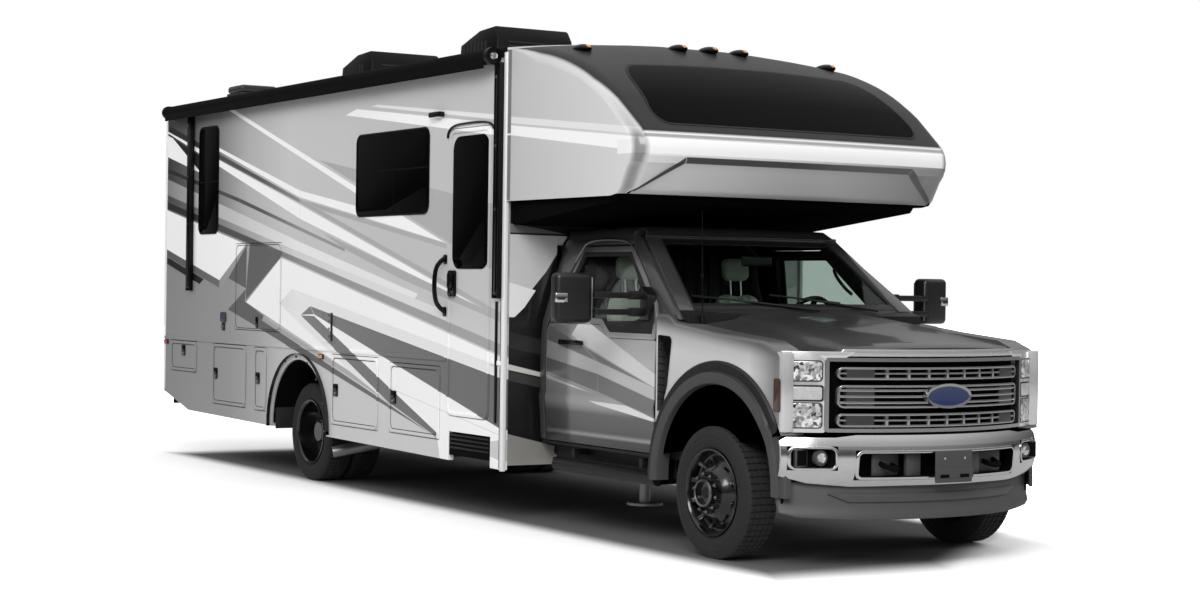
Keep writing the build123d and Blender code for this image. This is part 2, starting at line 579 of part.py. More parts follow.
# ---------------------------------------------------------------- cab furniture
def seat(x):
    cushion = block(x - 250, x + 250, 1270, 1800, 1110, 1260)
    back = Pos(x, 1850, 1420) * Rot(-8, 0, 0) * Box(480, 120, 420)
    rest = block(x - 125, x + 125, 1850, 1950, 1690, 1885)
    post = block(x - 200, x + 200, 1350, 1750, CAB_FLOOR, 1110)
    neck = block(x - 50, x + 50, 1875, 1905, 1560, 1700)
    return cushion + back + rest + post + neck


save("cab_seats", seat(-450), seat(450))
save("dashboard", block(-885, 885, 480, 800, 1080, 1440))
WHEEL_X, WHEEL_Y, WHEEL_Z = 450, 1030, 1430
wheel = Torus(185, 16) + Cylinder(60, 30) + Box(370, 40, 16) + Pos(0, -92, 0) * Box(40, 185, 16)
wheel += Pos(0, 0, -125) * Cylinder(25, 240)
save("steering_wheel", Pos(WHEEL_X, WHEEL_Y, WHEEL_Z) * Rot(-62, 0, 0) * wheel)

# ---------------------------------------------------------------- roof and wall equipment
def air_conditioner(y):
    side = outline((y, ROOF_CROWN), (y, 3650), (y + 60, 3715), (y + 300, 3700), (y + 640, 3600),
                   (y + 660, ROOF_CROWN))
    return along_x(side, -355, 355)


save("air_conditioners", air_conditioner(4050), air_conditioner(6330))
save("roof_vent", block(-1010, -650, 7700, 8060, 3330, 3470) - crowned(7600, 8200))

roller = rod_y(60, 2290, 8700, -1345, 3245)
arms = [block(-1330, COACH_HALF * -1, y - 40, y + 40, 1560, 3245) for y in (2275, 8190)]
save("awning", roller + arms)

bumper_rear = block(-1180, 1180, 8620, REAR_END, 575, 593) + block(-1180, 1180, 8882, REAR_END, 470, 593)
bumper_rear -= block(-60, 60, 8400, REAR_END + 10, 400, 600)
save("rear_bumper", bumper_rear)
lamps = [block(s * 1080, s * 1220, COACH_REAR, COACH_REAR + 18, 1000, 1180) for s in (-1, 1)]
save("tail_lamps", *lamps)

# Sliding step in its pocket under the entry door.
y0, y1, z0, z1 = STEP
save("entry_step", block(-1283, -960, y0, y1, z0 + 20, z0 + 50) + block(-1283, -1263, y0, y1, z0 + 50, z1 - 10))

# Open-fronted storage boxes behind the lower compartment doors.
bays = []
for _, side, y0, y1, z0, z1, edge in DOORS:
    if edge == "front":
        depth = 540 if y1 - y0 > 400 else 400
        x0, x1 = side * (INNER - 2), side * (INNER - depth)
        outer = block(x0, x1, y0 - 25, y1 + 25, z0 - 25, 1036)
        inner = block(side * INNER, side * (INNER - depth + 15), y0 - 10, y1 + 10, z0 - 10, 1021)
        bays.append(outer - inner)
save("storage_bays", *bays)
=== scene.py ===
from math import cos, pi, radians, sin

import bmesh
import bpy
from mathutils import Matrix, Vector


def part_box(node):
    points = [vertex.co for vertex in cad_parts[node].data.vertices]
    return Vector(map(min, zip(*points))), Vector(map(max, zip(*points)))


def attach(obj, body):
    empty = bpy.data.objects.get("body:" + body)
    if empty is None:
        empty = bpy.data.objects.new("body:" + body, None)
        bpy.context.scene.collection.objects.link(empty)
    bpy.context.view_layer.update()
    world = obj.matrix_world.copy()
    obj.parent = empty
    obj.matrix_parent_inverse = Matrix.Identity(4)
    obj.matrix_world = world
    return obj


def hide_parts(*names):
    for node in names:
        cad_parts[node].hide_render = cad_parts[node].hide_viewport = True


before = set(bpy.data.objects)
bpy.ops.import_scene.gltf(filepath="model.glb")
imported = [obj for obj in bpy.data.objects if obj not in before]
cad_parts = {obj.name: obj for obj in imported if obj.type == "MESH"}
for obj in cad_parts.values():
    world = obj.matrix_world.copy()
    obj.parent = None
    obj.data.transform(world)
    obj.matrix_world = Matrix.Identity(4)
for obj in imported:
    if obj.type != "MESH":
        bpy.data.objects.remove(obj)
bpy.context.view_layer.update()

scene = bpy.context.scene
scene.view_settings.view_transform = "Standard"


# ---------------------------------------------------------------- camera
# It stands ahead of the entry side's front corner at head height, and looks back along the coach.
CAMERA_PLACE = (-8.449, -14.556, 1.657)
CAMERA_YAW, CAMERA_PITCH, CAMERA_ROLL = radians(31.786), radians(-0.380), radians(-0.799)
SENSOR_WIDTH, FRAME_WIDTH_PX, FOCAL_PX = 36, 1200, 2117
lens = bpy.data.cameras.new("camera")
lens.sensor_fit, lens.sensor_width = "HORIZONTAL", SENSOR_WIDTH
lens.lens = SENSOR_WIDTH * FOCAL_PX / FRAME_WIDTH_PX
lens.clip_end = 200
camera = bpy.data.objects.new("camera", lens)
turn = Matrix.Rotation(-CAMERA_YAW, 4, "Z") @ Matrix.Rotation(pi / 2 + CAMERA_PITCH, 4, "X")
camera.matrix_world = Matrix.Translation(CAMERA_PLACE) @ turn @ Matrix.Rotation(-CAMERA_ROLL, 4, "Z")
scene.collection.objects.link(camera)
scene.camera = camera


# ---------------------------------------------------------------- studio
# A pale floor under soft light from all round, with one broad lamp over the entry side's front
# corner and a weaker one over the other side. What shows past the floor is plain white.
FLOOR_TONE, FLOOR_TONE_NEAR, FLOOR_TONE_FAR = 0.55, 1.12, 1.9
FLOOR_NEAR, FLOOR_FAR = 5.5, 13.0
SHADE_HALF_X, SHADE_HALF_Y, SHADE_EDGE, SHADE_DEPTH = 1.21, 4.52, 0.30, 0.12
SHADE_OFFSET = (-0.15, 0, 0)
SHADE_CORNER, SHADE_CORNER_AT = (0.61, -0.79, 0), 3.67
LIT_SIDE, LIT_SIDE_TONE = (1.3, 1.9), 2.2
AMBIENT, HORIZON_GLOSS, FULL_GLOSS_HEIGHT = 0.62, 0.04, 0.9


def wire(tree, source, target):
    tree.links.new(source, target)


def add(tree, kind, inputs=(), **settings):
    """One node with its settings, and its inputs set to a constant or wired, by place or name."""
    made = tree.nodes.new("ShaderNode" + kind)
    for key, value in settings.items():
        setattr(made, key, value)
    for key, value in dict(inputs).items():
        if isinstance(value, bpy.types.NodeSocket):
            wire(tree, value, made.inputs[key])
        else:
            made.inputs[key].default_value = value
    return made


def math(tree, operation, first, second=0.5, clamp=False):
    return add(tree, "Math", {0: first, 1: second}, operation=operation, use_clamp=clamp).outputs[0]


def vector_math(tree, operation, first, second=(0, 0, 0), output="Vector"):
    return add(tree, "VectorMath", {0: first, 1: second}, operation=operation).outputs[output]


def span(tree, value, *limits, **settings):
    """A value's way between two limits, as 0 to 1 or as the two further values given."""
    return add(tree, "MapRange", enumerate((value, *limits)), **settings).outputs[0]


def here(tree):
    return add(tree, "TexCoord").outputs["Object"]


def split(tree, vector):
    return add(tree, "SeparateXYZ", {0: vector}).outputs


bm = bmesh.new()
bmesh.ops.create_grid(bm, x_segments=1, y_segments=1, size=60)
mesh = bpy.data.meshes.new("floor")
bm.to_mesh(mesh)
bm.free()
floor = bpy.data.objects.new("floor", mesh)
scene.collection.objects.link(floor)
floor_paint = bpy.data.materials.new("floor_paint")
floor_paint.use_nodes = True
tree = floor_paint.node_tree
tree.nodes.clear()
path = add(tree, "LightPath")
distance = vector_math(tree, "LENGTH", here(tree), output="Value")
clear = span(tree, distance, FLOOR_NEAR, FLOOR_FAR, FLOOR_TONE_NEAR, FLOOR_TONE_FAR,
             interpolation_type="SMOOTHSTEP")
# A shadow is painted onto the floor under the coach, darkest in its middle, and the floor past the driver's
# side is painted lighter, which lifts the lamps' shadow there.
spot = vector_math(tree, "ABSOLUTE", vector_math(tree, "ADD", here(tree), SHADE_OFFSET))
spot = split(tree, vector_math(tree, "SUBTRACT", spot, (SHADE_HALF_X, SHADE_HALF_Y, 0)))
ahead = math(tree, "MULTIPLY", spot["Y"], 0.5)
corner = vector_math(tree, "DOT_PRODUCT", here(tree), SHADE_CORNER, "Value")
corner = math(tree, "SUBTRACT", corner, SHADE_CORNER_AT)
outside = math(tree, "MAXIMUM", math(tree, "MAXIMUM", spot["X"], ahead), corner)
shade = span(tree, outside, 0.0, SHADE_EDGE, SHADE_DEPTH, 1.0, interpolation_type="SMOOTHSTEP")
lit_side = span(tree, split(tree, here(tree))["X"], *LIT_SIDE, 1.0, LIT_SIDE_TONE,
                interpolation_type="SMOOTHSTEP")
clear = math(tree, "MULTIPLY", math(tree, "MULTIPLY", clear, shade), lit_side)
tone = add(tree, "CombineXYZ", {0: clear, 1: clear, 2: clear}).outputs[0]
seen = add(tree, "Mix", {0: path.outputs["Is Camera Ray"], 6: (FLOOR_TONE,) * 3 + (1,), 7: tone},
           data_type="RGBA")
matt = add(tree, "BsdfDiffuse", {"Color": seen.outputs[2]})
add(tree, "OutputMaterial", {"Surface": matt.outputs[0]})
floor.data.materials.append(floor_paint)

world = bpy.data.worlds.new("studio")
world.use_nodes = True
scene.world = world
tree = world.node_tree
tree.nodes.clear()
path = add(tree, "LightPath")
shown = math(tree, "MAXIMUM", path.outputs["Is Camera Ray"], path.outputs["Is Transmission Ray"])
height = split(tree, add(tree, "TexCoord").outputs["Generated"])["Z"]
overhead = span(tree, height, 0.0, FULL_GLOSS_HEIGHT, HORIZON_GLOSS, 1.0)
ambient = add(tree, "Background", {"Color": (1, 1, 1, 1), "Strength": AMBIENT})
mirrored = add(tree, "Background", {"Color": (1, 1, 1, 1), "Strength": overhead})
white = add(tree, "Background", {"Color": (1, 1, 1, 1), "Strength": 1.0})
lit = add(tree, "MixShader", {0: path.outputs["Is Glossy Ray"], 1: ambient.outputs[0],
                              2: mirrored.outputs[0]})
sky = add(tree, "MixShader", {0: shown, 1: lit.outputs[0], 2: white.outputs[0]})
add(tree, "OutputWorld", {"Surface": sky.outputs[0]})

# Lamps: name, place, target, width, height, power in watts.
LAMPS = [
    ("key_lamp", (-9, -12, 9), (0, -1, 1), 9, 6, 1500),
    ("fill_lamp", (11, -6, 8), (0, 0, 1), 8, 6, 500),
    ("rear_lamp", (-8, 11, 7), (0, 2, 1.5), 8, 5, 700),
]
for name, place, target, width, height, power in LAMPS:
    lamp = bpy.data.lights.new(name, "AREA")
    lamp.shape, lamp.size, lamp.size_y, lamp.energy = "RECTANGLE", width, height, power
    holder = bpy.data.objects.new(name, lamp)
    aim = (Vector(target) - Vector(place)).to_track_quat("-Z", "Y").to_matrix().to_4x4()
    holder.matrix_world = Matrix.Translation(place) @ aim
    holder.visible_camera = False
    holder.visible_glossy = name == "key_lamp"
    scene.collection.objects.link(holder)


# ---------------------------------------------------------------- coach walls
# Laminated side walls with a gel-coat skin. The sweeping grey and white bands are cut film under
# clear lacquer, the same on both sides, fading from dark at the tail to light at the front.
FRONT_AXLE_Y = (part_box("front_rim_left")[0].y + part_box("front_rim_left")[1].y) / 2
SIDE_X = 1.285
FILM_EDGE = 0.004
FADE_FRONT, FADE_REAR = -2.0, 5.0

# Fades of each tone along the coach: (place back from the middle in metres, grey as 0-255).
SIDE_TONES = {
    "upper": [(0.0, 188), (1.0, 192), (2.0, 194), (2.9, 172), (3.6, 118), (4.9, 42)],
    "lower": [(0.0, 200), (1.0, 197), (2.1, 184), (2.6, 160), (3.3, 142), (4.9, 126)],
    "dark": [(-1.8, 160), (-0.1, 156), (1.7, 143), (2.1, 122), (2.6, 85), (3.5, 71), (4.2, 42), (4.9, 28)],
    "mid": [(-1.8, 172), (1.0, 168), (3.0, 152), (4.9, 120)],
    "light": [(-1.8, 226), (1.8, 226), (2.3, 214), (3.5, 176), (4.1, 165), (4.9, 117)],
    "shade": [(-1.8, 216), (0.8, 216), (1.8, 206), (2.6, 170), (3.5, 125), (4.9, 58)],
    "white": [(-1.8, 242), (3.0, 238), (4.9, 228)],
    "zigzag": [(-0.8, 110), (1.5, 98), (3.4, 90)],
    "slate": [(-1.8, 104), (0.0, 112), (1.7, 125), (3.6, 100), (4.9, 79)],
    "black": [(3.9, 26), (4.9, 20)],
}

# Bands from the lowest film to the topmost: tone, then corners as (y, z) in metres.
SIDE_BANDS = [
    ("white", [(0.91, 2.99), (0.69, 3.03), (-1.75, 2.77), (-1.75, 2.68)]),
    ("light", [(0.45, 3.03), (0.31, 3.04), (-1.75, 2.83), (-1.75, 2.79)]),
    ("mid", [(1.42, 2.66), (-1.80, 2.19), (-1.81, 1.68)]),
    ("white", [(3.49, 3.22), (3.33, 3.21), (-0.87, 1.95), (-0.12, 2.11)]),
    ("white", [(3.95, 2.95), (1.78, 2.42), (1.78, 2.36), (3.60, 2.83)]),
    ("white", [(1.78, 2.42), (-0.12, 2.15), (-0.87, 1.95), (1.78, 2.36)]),
    ("dark", [(4.95, 3.15), (1.78, 2.35), (1.77, 2.31), (4.95, 3.09)]),
    ("mid", [(1.78, 2.35), (-0.87, 1.95), (-0.87, 1.91), (1.33, 2.24)]),
    ("mid", [(1.78, 2.35), (1.33, 2.24), (-1.82, 1.43), (-1.82, 1.39), (1.77, 2.31)]),
    ("white", [(4.95, 3.09), (1.77, 2.30), (1.77, 2.18), (4.94, 3.07)]),
    ("white", [(1.77, 2.30), (-1.49, 1.47), (-1.49, 1.46), (1.77, 2.18)]),
    ("white", [(4.94, 3.05), (4.78, 3.01), (4.01, 2.64), (4.94, 2.84)]),
    ("black", [(4.78, 3.01), (3.94, 2.78), (4.04, 2.65)]),
    ("dark", [(4.93, 2.73), (3.09, 2.39), (3.09, 2.35), (4.93, 2.69)]),
    ("dark", [(3.09, 2.39), (0.88, 1.93), (0.88, 1.90), (3.09, 2.35)]),
    ("mid", [(1.36, 2.07), (-1.82, 1.41), (-1.82, 1.37), (-0.11, 1.69), (0.88, 1.92)]),
    ("light", [(4.93, 2.63), (1.76, 1.99), (1.76, 1.90), (4.92, 2.47)]),
    ("light", [(1.76, 1.99), (-0.42, 1.58), (-0.35, 1.53), (1.76, 1.90)]),
    ("shade", [(4.92, 2.47), (1.76, 1.90), (1.76, 1.84), (4.92, 2.41)]),
    ("shade", [(1.76, 1.90), (-0.87, 1.46), (-0.87, 1.39), (1.76, 1.84)]),
    ("dark", [(4.92, 2.41), (2.16, 1.92), (2.16, 1.86), (4.92, 2.34)]),
    ("dark", [(2.16, 1.92), (-1.83, 1.22), (-1.83, 1.14), (2.16, 1.87)]),
    ("white", [(4.92, 2.33), (2.93, 1.98), (3.55, 1.66), (4.91, 1.95)]),
    ("slate", [(4.91, 1.95), (3.55, 1.66), (3.55, 1.59), (4.90, 1.88)]),
    ("mid", [(3.00, 1.93), (2.91, 1.91), (3.55, 1.59), (3.55, 1.66)]),
    ("mid", [(4.90, 1.81), (3.90, 1.67), (4.05, 1.60), (4.90, 1.78)]),
    ("black", [(4.90, 1.88), (3.93, 1.67), (4.04, 1.62), (4.90, 1.81)]),
    ("zigzag", [(2.91, 1.98), (2.16, 1.92), (2.16, 1.86), (2.94, 1.48), (2.92, 1.59)]),
    ("zigzag", [(2.91, 1.98), (2.92, 1.59), (3.34, 1.68)]),
    ("zigzag", [(2.92, 1.59), (2.94, 1.48), (3.15, 1.36), (3.34, 1.40)]),
    ("zigzag", [(3.34, 1.40), (2.94, 1.48), (2.51, 1.36), (2.55, 1.32), (3.05, 1.34)]),
    ("zigzag", [(3.05, 1.40), (2.55, 1.32), (0.08, 0.74), (-0.75, 0.53), (3.05, 1.34)]),
    ("white", [(2.16, 1.86), (-1.83, 1.13), (-1.84, 0.59), (0.79, 0.96), (2.92, 1.47)]),
    ("white", [(-1.84, 0.59), (-0.93, 0.48), (0.79, 0.96)]),
    ("light", [(1.92, 1.60), (-1.83, 1.07), (-1.83, 0.99), (1.54, 1.46)]),
    ("light", [(2.19, 1.47), (1.92, 1.60), (1.54, 1.46), (1.74, 1.38)]),
    ("light", [(2.19, 1.47), (1.74, 1.38), (0.08, 0.75), (0.79, 0.96)]),
    ("mid", [(2.53, 1.35), (0.79, 0.96), (0.08, 0.75), (2.55, 1.32)]),
    ("slate", [(1.74, 1.38), (1.54, 1.46), (1.46, 1.39)]),
    ("slate", [(1.54, 1.46), (-1.83, 0.99), (-1.84, 0.62), (1.46, 1.39)]),
    ("slate", [(1.74, 1.38), (1.46, 1.38), (-0.77, 0.56), (-0.75, 0.53), (0.08, 0.75)]),
    ("white", [(-0.75, 0.55), (-2.0, 0.40), (-2.0, 0.20), (-0.85, 0.20)]),
]


def grey(level, tint=(1, 1, 1)):
    """Linear colour for a grey of 0-255 as it looks on a screen, with a slight tint."""
    value = level / 255
    linear = value / 12.92 if value < 0.04045 else ((value + 0.055) / 1.055) ** 2.4
    return (linear * tint[0], linear * tint[1], linear * tint[2], 1)


def noise(tree, coords, scale, detail=3, rough=0.55):
    made = add(tree, "TexNoise", {"Vector": coords, "Scale": scale, "Detail": detail, "Roughness": rough})
    return made.outputs["Fac"]


def mixed(tree, factor, first, second):
    return add(tree, "Mix", {0: factor, 6: first, 7: second}, data_type="RGBA").outputs[2]


def film_mask(tree, place, corners):
    """1 inside a convex outline, 0 outside. place is (a, b, 1) and corners are (a, b)."""
    middle = sum((Vector(c) for c in corners), Vector((0, 0))) / len(corners)
    inside = None
    for start, end in zip(corners, corners[1:] + corners[:1]):
        along = (Vector(end) - Vector(start)).normalized()
        inward = Vector((-along.y, along.x))
        if inward.dot(middle - Vector(start)) < 0:
            inward = -inward
        line = (inward.x, inward.y, -inward.dot(Vector(start)))
        depth = vector_math(tree, "DOT_PRODUCT", place, line, "Value")
        inside = depth if inside is None else math(tree, "MINIMUM", inside, depth)
    return math(tree, "MULTIPLY", inside, 1 / FILM_EDGE, clamp=True)


def fade(tree, along, stops, front, rear):
    """Colour that changes along the body; stops are (metres, grey)."""
    ramp = add(tree, "ValToRGB", {"Fac": along})
    elements = ramp.color_ramp.elements
    while len(elements) < len(stops):
        elements.new(0.5)
    for element, (place, level) in zip(elements, stops):
        element.position, element.color = (place - front) / (rear - front), grey(level)
    return ramp.outputs["Color"]


def filmed(tree, colour, place, bands, reach=1.0):
    """Lays bands over a colour, one on the other. A band is its grey, its corners and, if any, a tint."""
    for level, corners, *tint in bands:
        mask = film_mask(tree, place, corners)
        if reach != 1.0:
            mask = math(tree, "MULTIPLY", mask, reach)
        colour = mixed(tree, mask, colour, grey(level, *tint))
    return colour


def lacquer(name, **sockets):
    """A painted finish: one Principled shader with a clear coat. Returns material, tree, shader."""
    made = bpy.data.materials.new(name)
    made.use_nodes = True
    shader = made.node_tree.nodes["Principled BSDF"]
    gloss = {"Roughness": 0.35, "Coat Weight": 0.6, "Coat Roughness": 0.08, "Specular IOR Level": 0.4}
    for socket, value in {**gloss, **sockets}.items():
        shader.inputs[socket].default_value = value
    return made, made.node_tree, shader


def node_group(name, floats, outputs):
    """Group with float inputs, a colour input and the outputs given. Returns it with both its ends."""
    group = bpy.data.node_groups.new(name, "ShaderNodeTree")
    for label, default in floats:
        socket = group.interface.new_socket(label, in_out="INPUT", socket_type="NodeSocketFloat")
        socket.default_value = default
    group.interface.new_socket("Color", in_out="INPUT", socket_type="NodeSocketColor")
    for label, kind in outputs:
        group.interface.new_socket(label, in_out="OUTPUT", socket_type="NodeSocket" + kind)
    return group, group.nodes.new("NodeGroupInput").outputs, group.nodes.new("NodeGroupOutput").inputs


def orange_peel_group():
    """Slow waviness and fine mottle of a sprayed or gel-coat skin."""
    group, source, sink = node_group("orange_peel", [("Wave Scale", 3.0), ("Wave", 0.5), ("Mottle", 0.03)],
                                     [("Color", "Color"), ("Height", "Float")])
    coords = here(group)
    slow = noise(group, coords, source["Wave Scale"], 2)
    fine = math(group, "MULTIPLY", noise(group, coords, 240, 2), 0.04)
    height = math(group, "MULTIPLY", math(group, "ADD", slow, fine), source["Wave"])
    low = math(group, "SUBTRACT", 1.0, source["Mottle"])
    tone = add(group, "MapRange", {0: noise(group, coords, 1.3, 4), 3: low, 4: 1.0}).outputs[0]
    scaled = add(group, "VectorMath", {0: source["Color"], "Scale": tone}, operation="SCALE")
    wire(group, scaled.outputs[0], sink["Color"])
    wire(group, height, sink["Height"])
    return group


ORANGE_PEEL = orange_peel_group()


def skin(tree, shader, colour, wave=0.5, mottle=0.03, bump=0.02):
    """Puts a painted skin's mottle and waviness on a shader."""
    group = tree.nodes.new("ShaderNodeGroup")
    group.node_tree = ORANGE_PEEL
    group.inputs["Wave"].default_value = wave
    group.inputs["Mottle"].default_value = mottle
    wire(tree, colour, group.inputs["Color"])
    wire(tree, group.outputs["Color"], shader.inputs["Base Color"])
    relief = add(tree, "Bump", {"Height": group.outputs["Height"], "Strength": bump, "Distance": 0.02})
    wire(tree, relief.outputs[0], shader.inputs["Normal"])


def coach_side_paint():
    satin = {"Roughness": 0.45, "Coat Weight": 0.15, "Coat Roughness": 0.2, "Specular IOR Level": 0.2}
    made, tree, shader = lacquer("coach_side_paint", **satin)
    x, y, z = split(tree, here(tree))
    along = span(tree, y, FADE_FRONT, FADE_REAR)
    place = add(tree, "CombineXYZ", {0: y, 1: z, 2: 1.0}).outputs[0]
    tones = {name: fade(tree, along, stops, FADE_FRONT, FADE_REAR) for name, stops in SIDE_TONES.items()}
    rise = math(tree, "SUBTRACT", z, math(tree, "MULTIPLY", y, 0.15))
    colour = mixed(tree, span(tree, rise, 1.35, 1.85), tones["lower"], tones["upper"])
    for tone, corners in SIDE_BANDS:
        colour = mixed(tree, film_mask(tree, place, corners), colour, tones[tone])
    skin(tree, shader, colour)
    return made


side_paint = coach_side_paint()
SIDE_NODES = ["entry_side_wall", "driver_side_wall", "rear_wall", "entry_door", "front_compartment_door",
              "middle_compartment_door", "narrow_compartment_door", "rear_compartment_door", "cord_hatch",
              "upper_utility_door", "driver_side_front_door", "driver_side_rear_door"]


def repaint(node, *finishes):
    """Gives a carried-over CAD node its finish."""
    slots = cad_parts[node].data.materials
    slots.clear()
    for finish in finishes:
        slots.append(finish)


for node in SIDE_NODES:
    repaint(node, side_paint)


# ---------------------------------------------------------------- locker doors
# Each compartment door is a moulded panel with a raised rounded rim, painted with the side's film
# running across it, and a black paddle latch with a key barrel.
def moulded_group():
    """Mottle of the tone and a fine grain for every finish that isn't painted."""
    group, source, sink = node_group(
        "mottle_and_grain", [("Scale", 6.0), ("Spread", 0.15), ("Roughness", 0.5), ("Rough Spread", 0.1),
                             ("Grain Scale", 300.0)],
        [("Color", "Color"), ("Roughness", "Float"), ("Height", "Float")])
    coords = here(group)
    cloud = noise(group, coords, source["Scale"], 5, 0.6)
    centred = math(group, "MULTIPLY", math(group, "SUBTRACT", cloud, 0.5), 2.0)
    gain = math(group, "ADD", math(group, "MULTIPLY", centred, source["Spread"]), 1.0)
    scaled = add(group, "VectorMath", {0: source["Color"], "Scale": gain}, operation="SCALE")
    rough = math(group, "ADD", math(group, "MULTIPLY", centred, source["Rough Spread"]), source["Roughness"],
                 clamp=True)
    cells = add(group, "TexVoronoi", {"Vector": coords, "Scale": source["Grain Scale"]})
    wire(group, scaled.outputs[0], sink["Color"])
    wire(group, rough, sink["Roughness"])
    wire(group, cells.outputs["Distance"], sink["Height"])
    return group


MOULDED = moulded_group()


def plain(name, tone, rough=0.5, tint=(1, 1, 1), spread=0.12, scale=6.0, rough_spread=0.08,
          grain=0.0, grain_scale=300.0, **sockets):
    """A finish of one colour: mottled tone, uneven gloss and a fine grain of the given depth."""
    made = bpy.data.materials.new(name)
    made.use_nodes = True
    tree = made.node_tree
    shader = tree.nodes["Principled BSDF"]
    for socket, value in sockets.items():
        shader.inputs[socket.replace("_", " ")].default_value = value
    group = tree.nodes.new("ShaderNodeGroup")
    group.node_tree = MOULDED
    values = {"Scale": scale, "Spread": spread, "Roughness": rough, "Rough Spread": rough_spread,
              "Grain Scale": grain_scale, "Color": grey(tone, tint)}
    for socket, value in values.items():
        group.inputs[socket].default_value = value
    wire(tree, group.outputs["Color"], shader.inputs["Base Color"])
    wire(tree, group.outputs["Roughness"], shader.inputs["Roughness"])
    if grain:
        relief = add(tree, "Bump", {"Height": group.outputs["Height"], "Strength": grain, "Distance": 0.001})
        wire(tree, relief.outputs[0], shader.inputs["Normal"])
    return made


black_plastic = plain("black_plastic", 15, 0.45, grain=0.25, grain_scale=500)
gloss_black = plain("gloss_black", 6, 0.12, spread=0.2, scale=2, rough_spread=0.04, Specular_IOR_Level=0.25)
black_rubber = plain("black_rubber", 16, 0.7, spread=0.2, grain=0.3, grain_scale=260)
dark_glass = plain("dark_glass", 5, 0.04, spread=0.3, scale=1.2, rough_spread=0.02, Specular_IOR_Level=0.015)
chrome = plain("chrome", 205, 0.12, spread=0.05, scale=14, rough_spread=0.05, Metallic=1.0)
brushed_metal = plain("brushed_metal", 150, 0.38, spread=0.1, scale=30, Metallic=1.0)


def piece(name, bm, body, finish, replaces=(), angle=32):
    """Writes a bmesh, made with y measured back from the front axle, as a piece riding on a body."""
    bmesh.ops.translate(bm, vec=(0, FRONT_AXLE_Y, 0), verts=bm.verts)
    mesh = bpy.data.meshes.new(name)
    bm.to_mesh(mesh)
    bm.free()
    mesh.shade_smooth()
    mesh.set_sharp_from_angle(angle=radians(angle))
    obj = bpy.data.objects.new(name, mesh)
    scene.collection.objects.link(obj)
    for each in finish if isinstance(finish, (list, tuple)) else [finish]:
        mesh.materials.append(each)
    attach(obj, body)
    if replaces:
        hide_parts(*replaces)
    return obj


HARD_TURN = radians(50)
AXES = {"x": lambda a, b, c: (a, b, c), "y": lambda a, b, c: (b, a, c), "z": lambda a, b, c: (b, c, a)}


def edges_of(verts):
    return list({edge for vert in verts for edge in vert.link_edges})


def faces_of(verts):
    return list({face for vert in verts for face in vert.link_faces})


def sharp(edges):
    """The edges along which a form turns hard."""
    return [edge for edge in set(edges) if edge.calc_face_angle(0) > HARD_TURN]


def soften(bm, edges, offset, segments=2):
    bmesh.ops.bevel(bm, geom=edges, offset=offset, segments=segments, profile=0.5, affect="EDGES",
                    clamp_overlap=True, material=-1)


def set_finish(faces, finish):
    for face in faces:
        face.material_index = finish


def block(bm, x0, x1, y0, y1, z0, z1, soft=0.0, segments=2, finish=0):
    """Box between two corners with softened edges."""
    size = Vector((abs(x1 - x0), abs(y1 - y0), abs(z1 - z0)))
    centre = Vector((x0 + x1, y0 + y1, z0 + z1)) / 2
    made = bmesh.ops.create_cube(bm, size=1, matrix=Matrix.LocRotScale(centre, None, size))
    set_finish(faces_of(made["verts"]), finish)
    if soft:
        soften(bm, edges_of(made["verts"]), soft, segments)


def rod(bm, start, end, radius, segments=16, tip=None, finish=0):
    """Round bar between two points, tapered to tip if one is given."""
    start, end = Vector(start), Vector(end)
    aim = (end - start).to_track_quat("Z", "Y").to_matrix().to_4x4()
    made = bmesh.ops.create_cone(bm, cap_ends=True, segments=segments, radius1=radius,
                                 radius2=radius if tip is None else tip, depth=(end - start).length,
                                 matrix=Matrix.Translation((start + end) / 2) @ aim)
    set_finish(faces_of(made["verts"]), finish)


def rectangle(a0, a1, b0, b1):
    return [(a0, b0), (a1, b0), (a1, b1), (a0, b1)]


def about(a, b, half_a, half_b):
    """Rectangle round a middle."""
    return rectangle(a - half_a, a + half_a, b - half_b, b + half_b)


def outline(bm, points, round_by, steps=6):
    """Flat face with rounded corners."""
    verts = [bm.verts.new(point) for point in points]
    face = bm.faces.new(verts)
    if round_by:
        rounded = bmesh.ops.bevel(bm, geom=verts, offset=round_by, segments=steps, profile=0.5,
                                  affect="VERTICES", clamp_overlap=True, material=-1)
        face = max(faces_of(rounded["verts"]), key=lambda f: f.calc_area())
    return face


def framed(bm, face, width):
    """Leaves only a frame of one width along a face's edge, and returns its faces."""
    made = bmesh.ops.inset_region(bm, faces=[face], thickness=width, use_even_offset=True, use_boundary=True)
    bmesh.ops.delete(bm, geom=[face], context="FACES_ONLY")
    return made["faces"]


def doubled(bm, faces):
    """Extrudes faces in place, and returns the new side's vertices."""
    made = bmesh.ops.extrude_face_region(bm, geom=faces)
    return [v for v in made["geom"] if isinstance(v, bmesh.types.BMVert)]


def thickened(bm, faces, offset, finish):
    """Gives flat faces thickness. Returns the new side's vertices and all the form's faces."""
    near = [v for f in faces for v in f.verts]
    far = doubled(bm, faces)
    bmesh.ops.translate(bm, vec=offset, verts=far)
    made = faces_of(near + far)
    bmesh.ops.recalc_face_normals(bm, faces=made)
    set_finish(made, finish)
    return far, made


def slab(bm, corners, axis, low, high, round_by=0.0, soft=0.0, finish=0):
    """Flat outline given thickness along an axis; its corners are rounded first, its rims softened last."""
    place = AXES[axis]
    face = outline(bm, [place(low, a, b) for a, b in corners], round_by)
    _, made = thickened(bm, [face], place(high - low, 0, 0), finish)
    if soft:
        soften(bm, sharp(e for f in made if len(f.verts) > 4 or len(corners) == 4 for e in f.edges), soft)


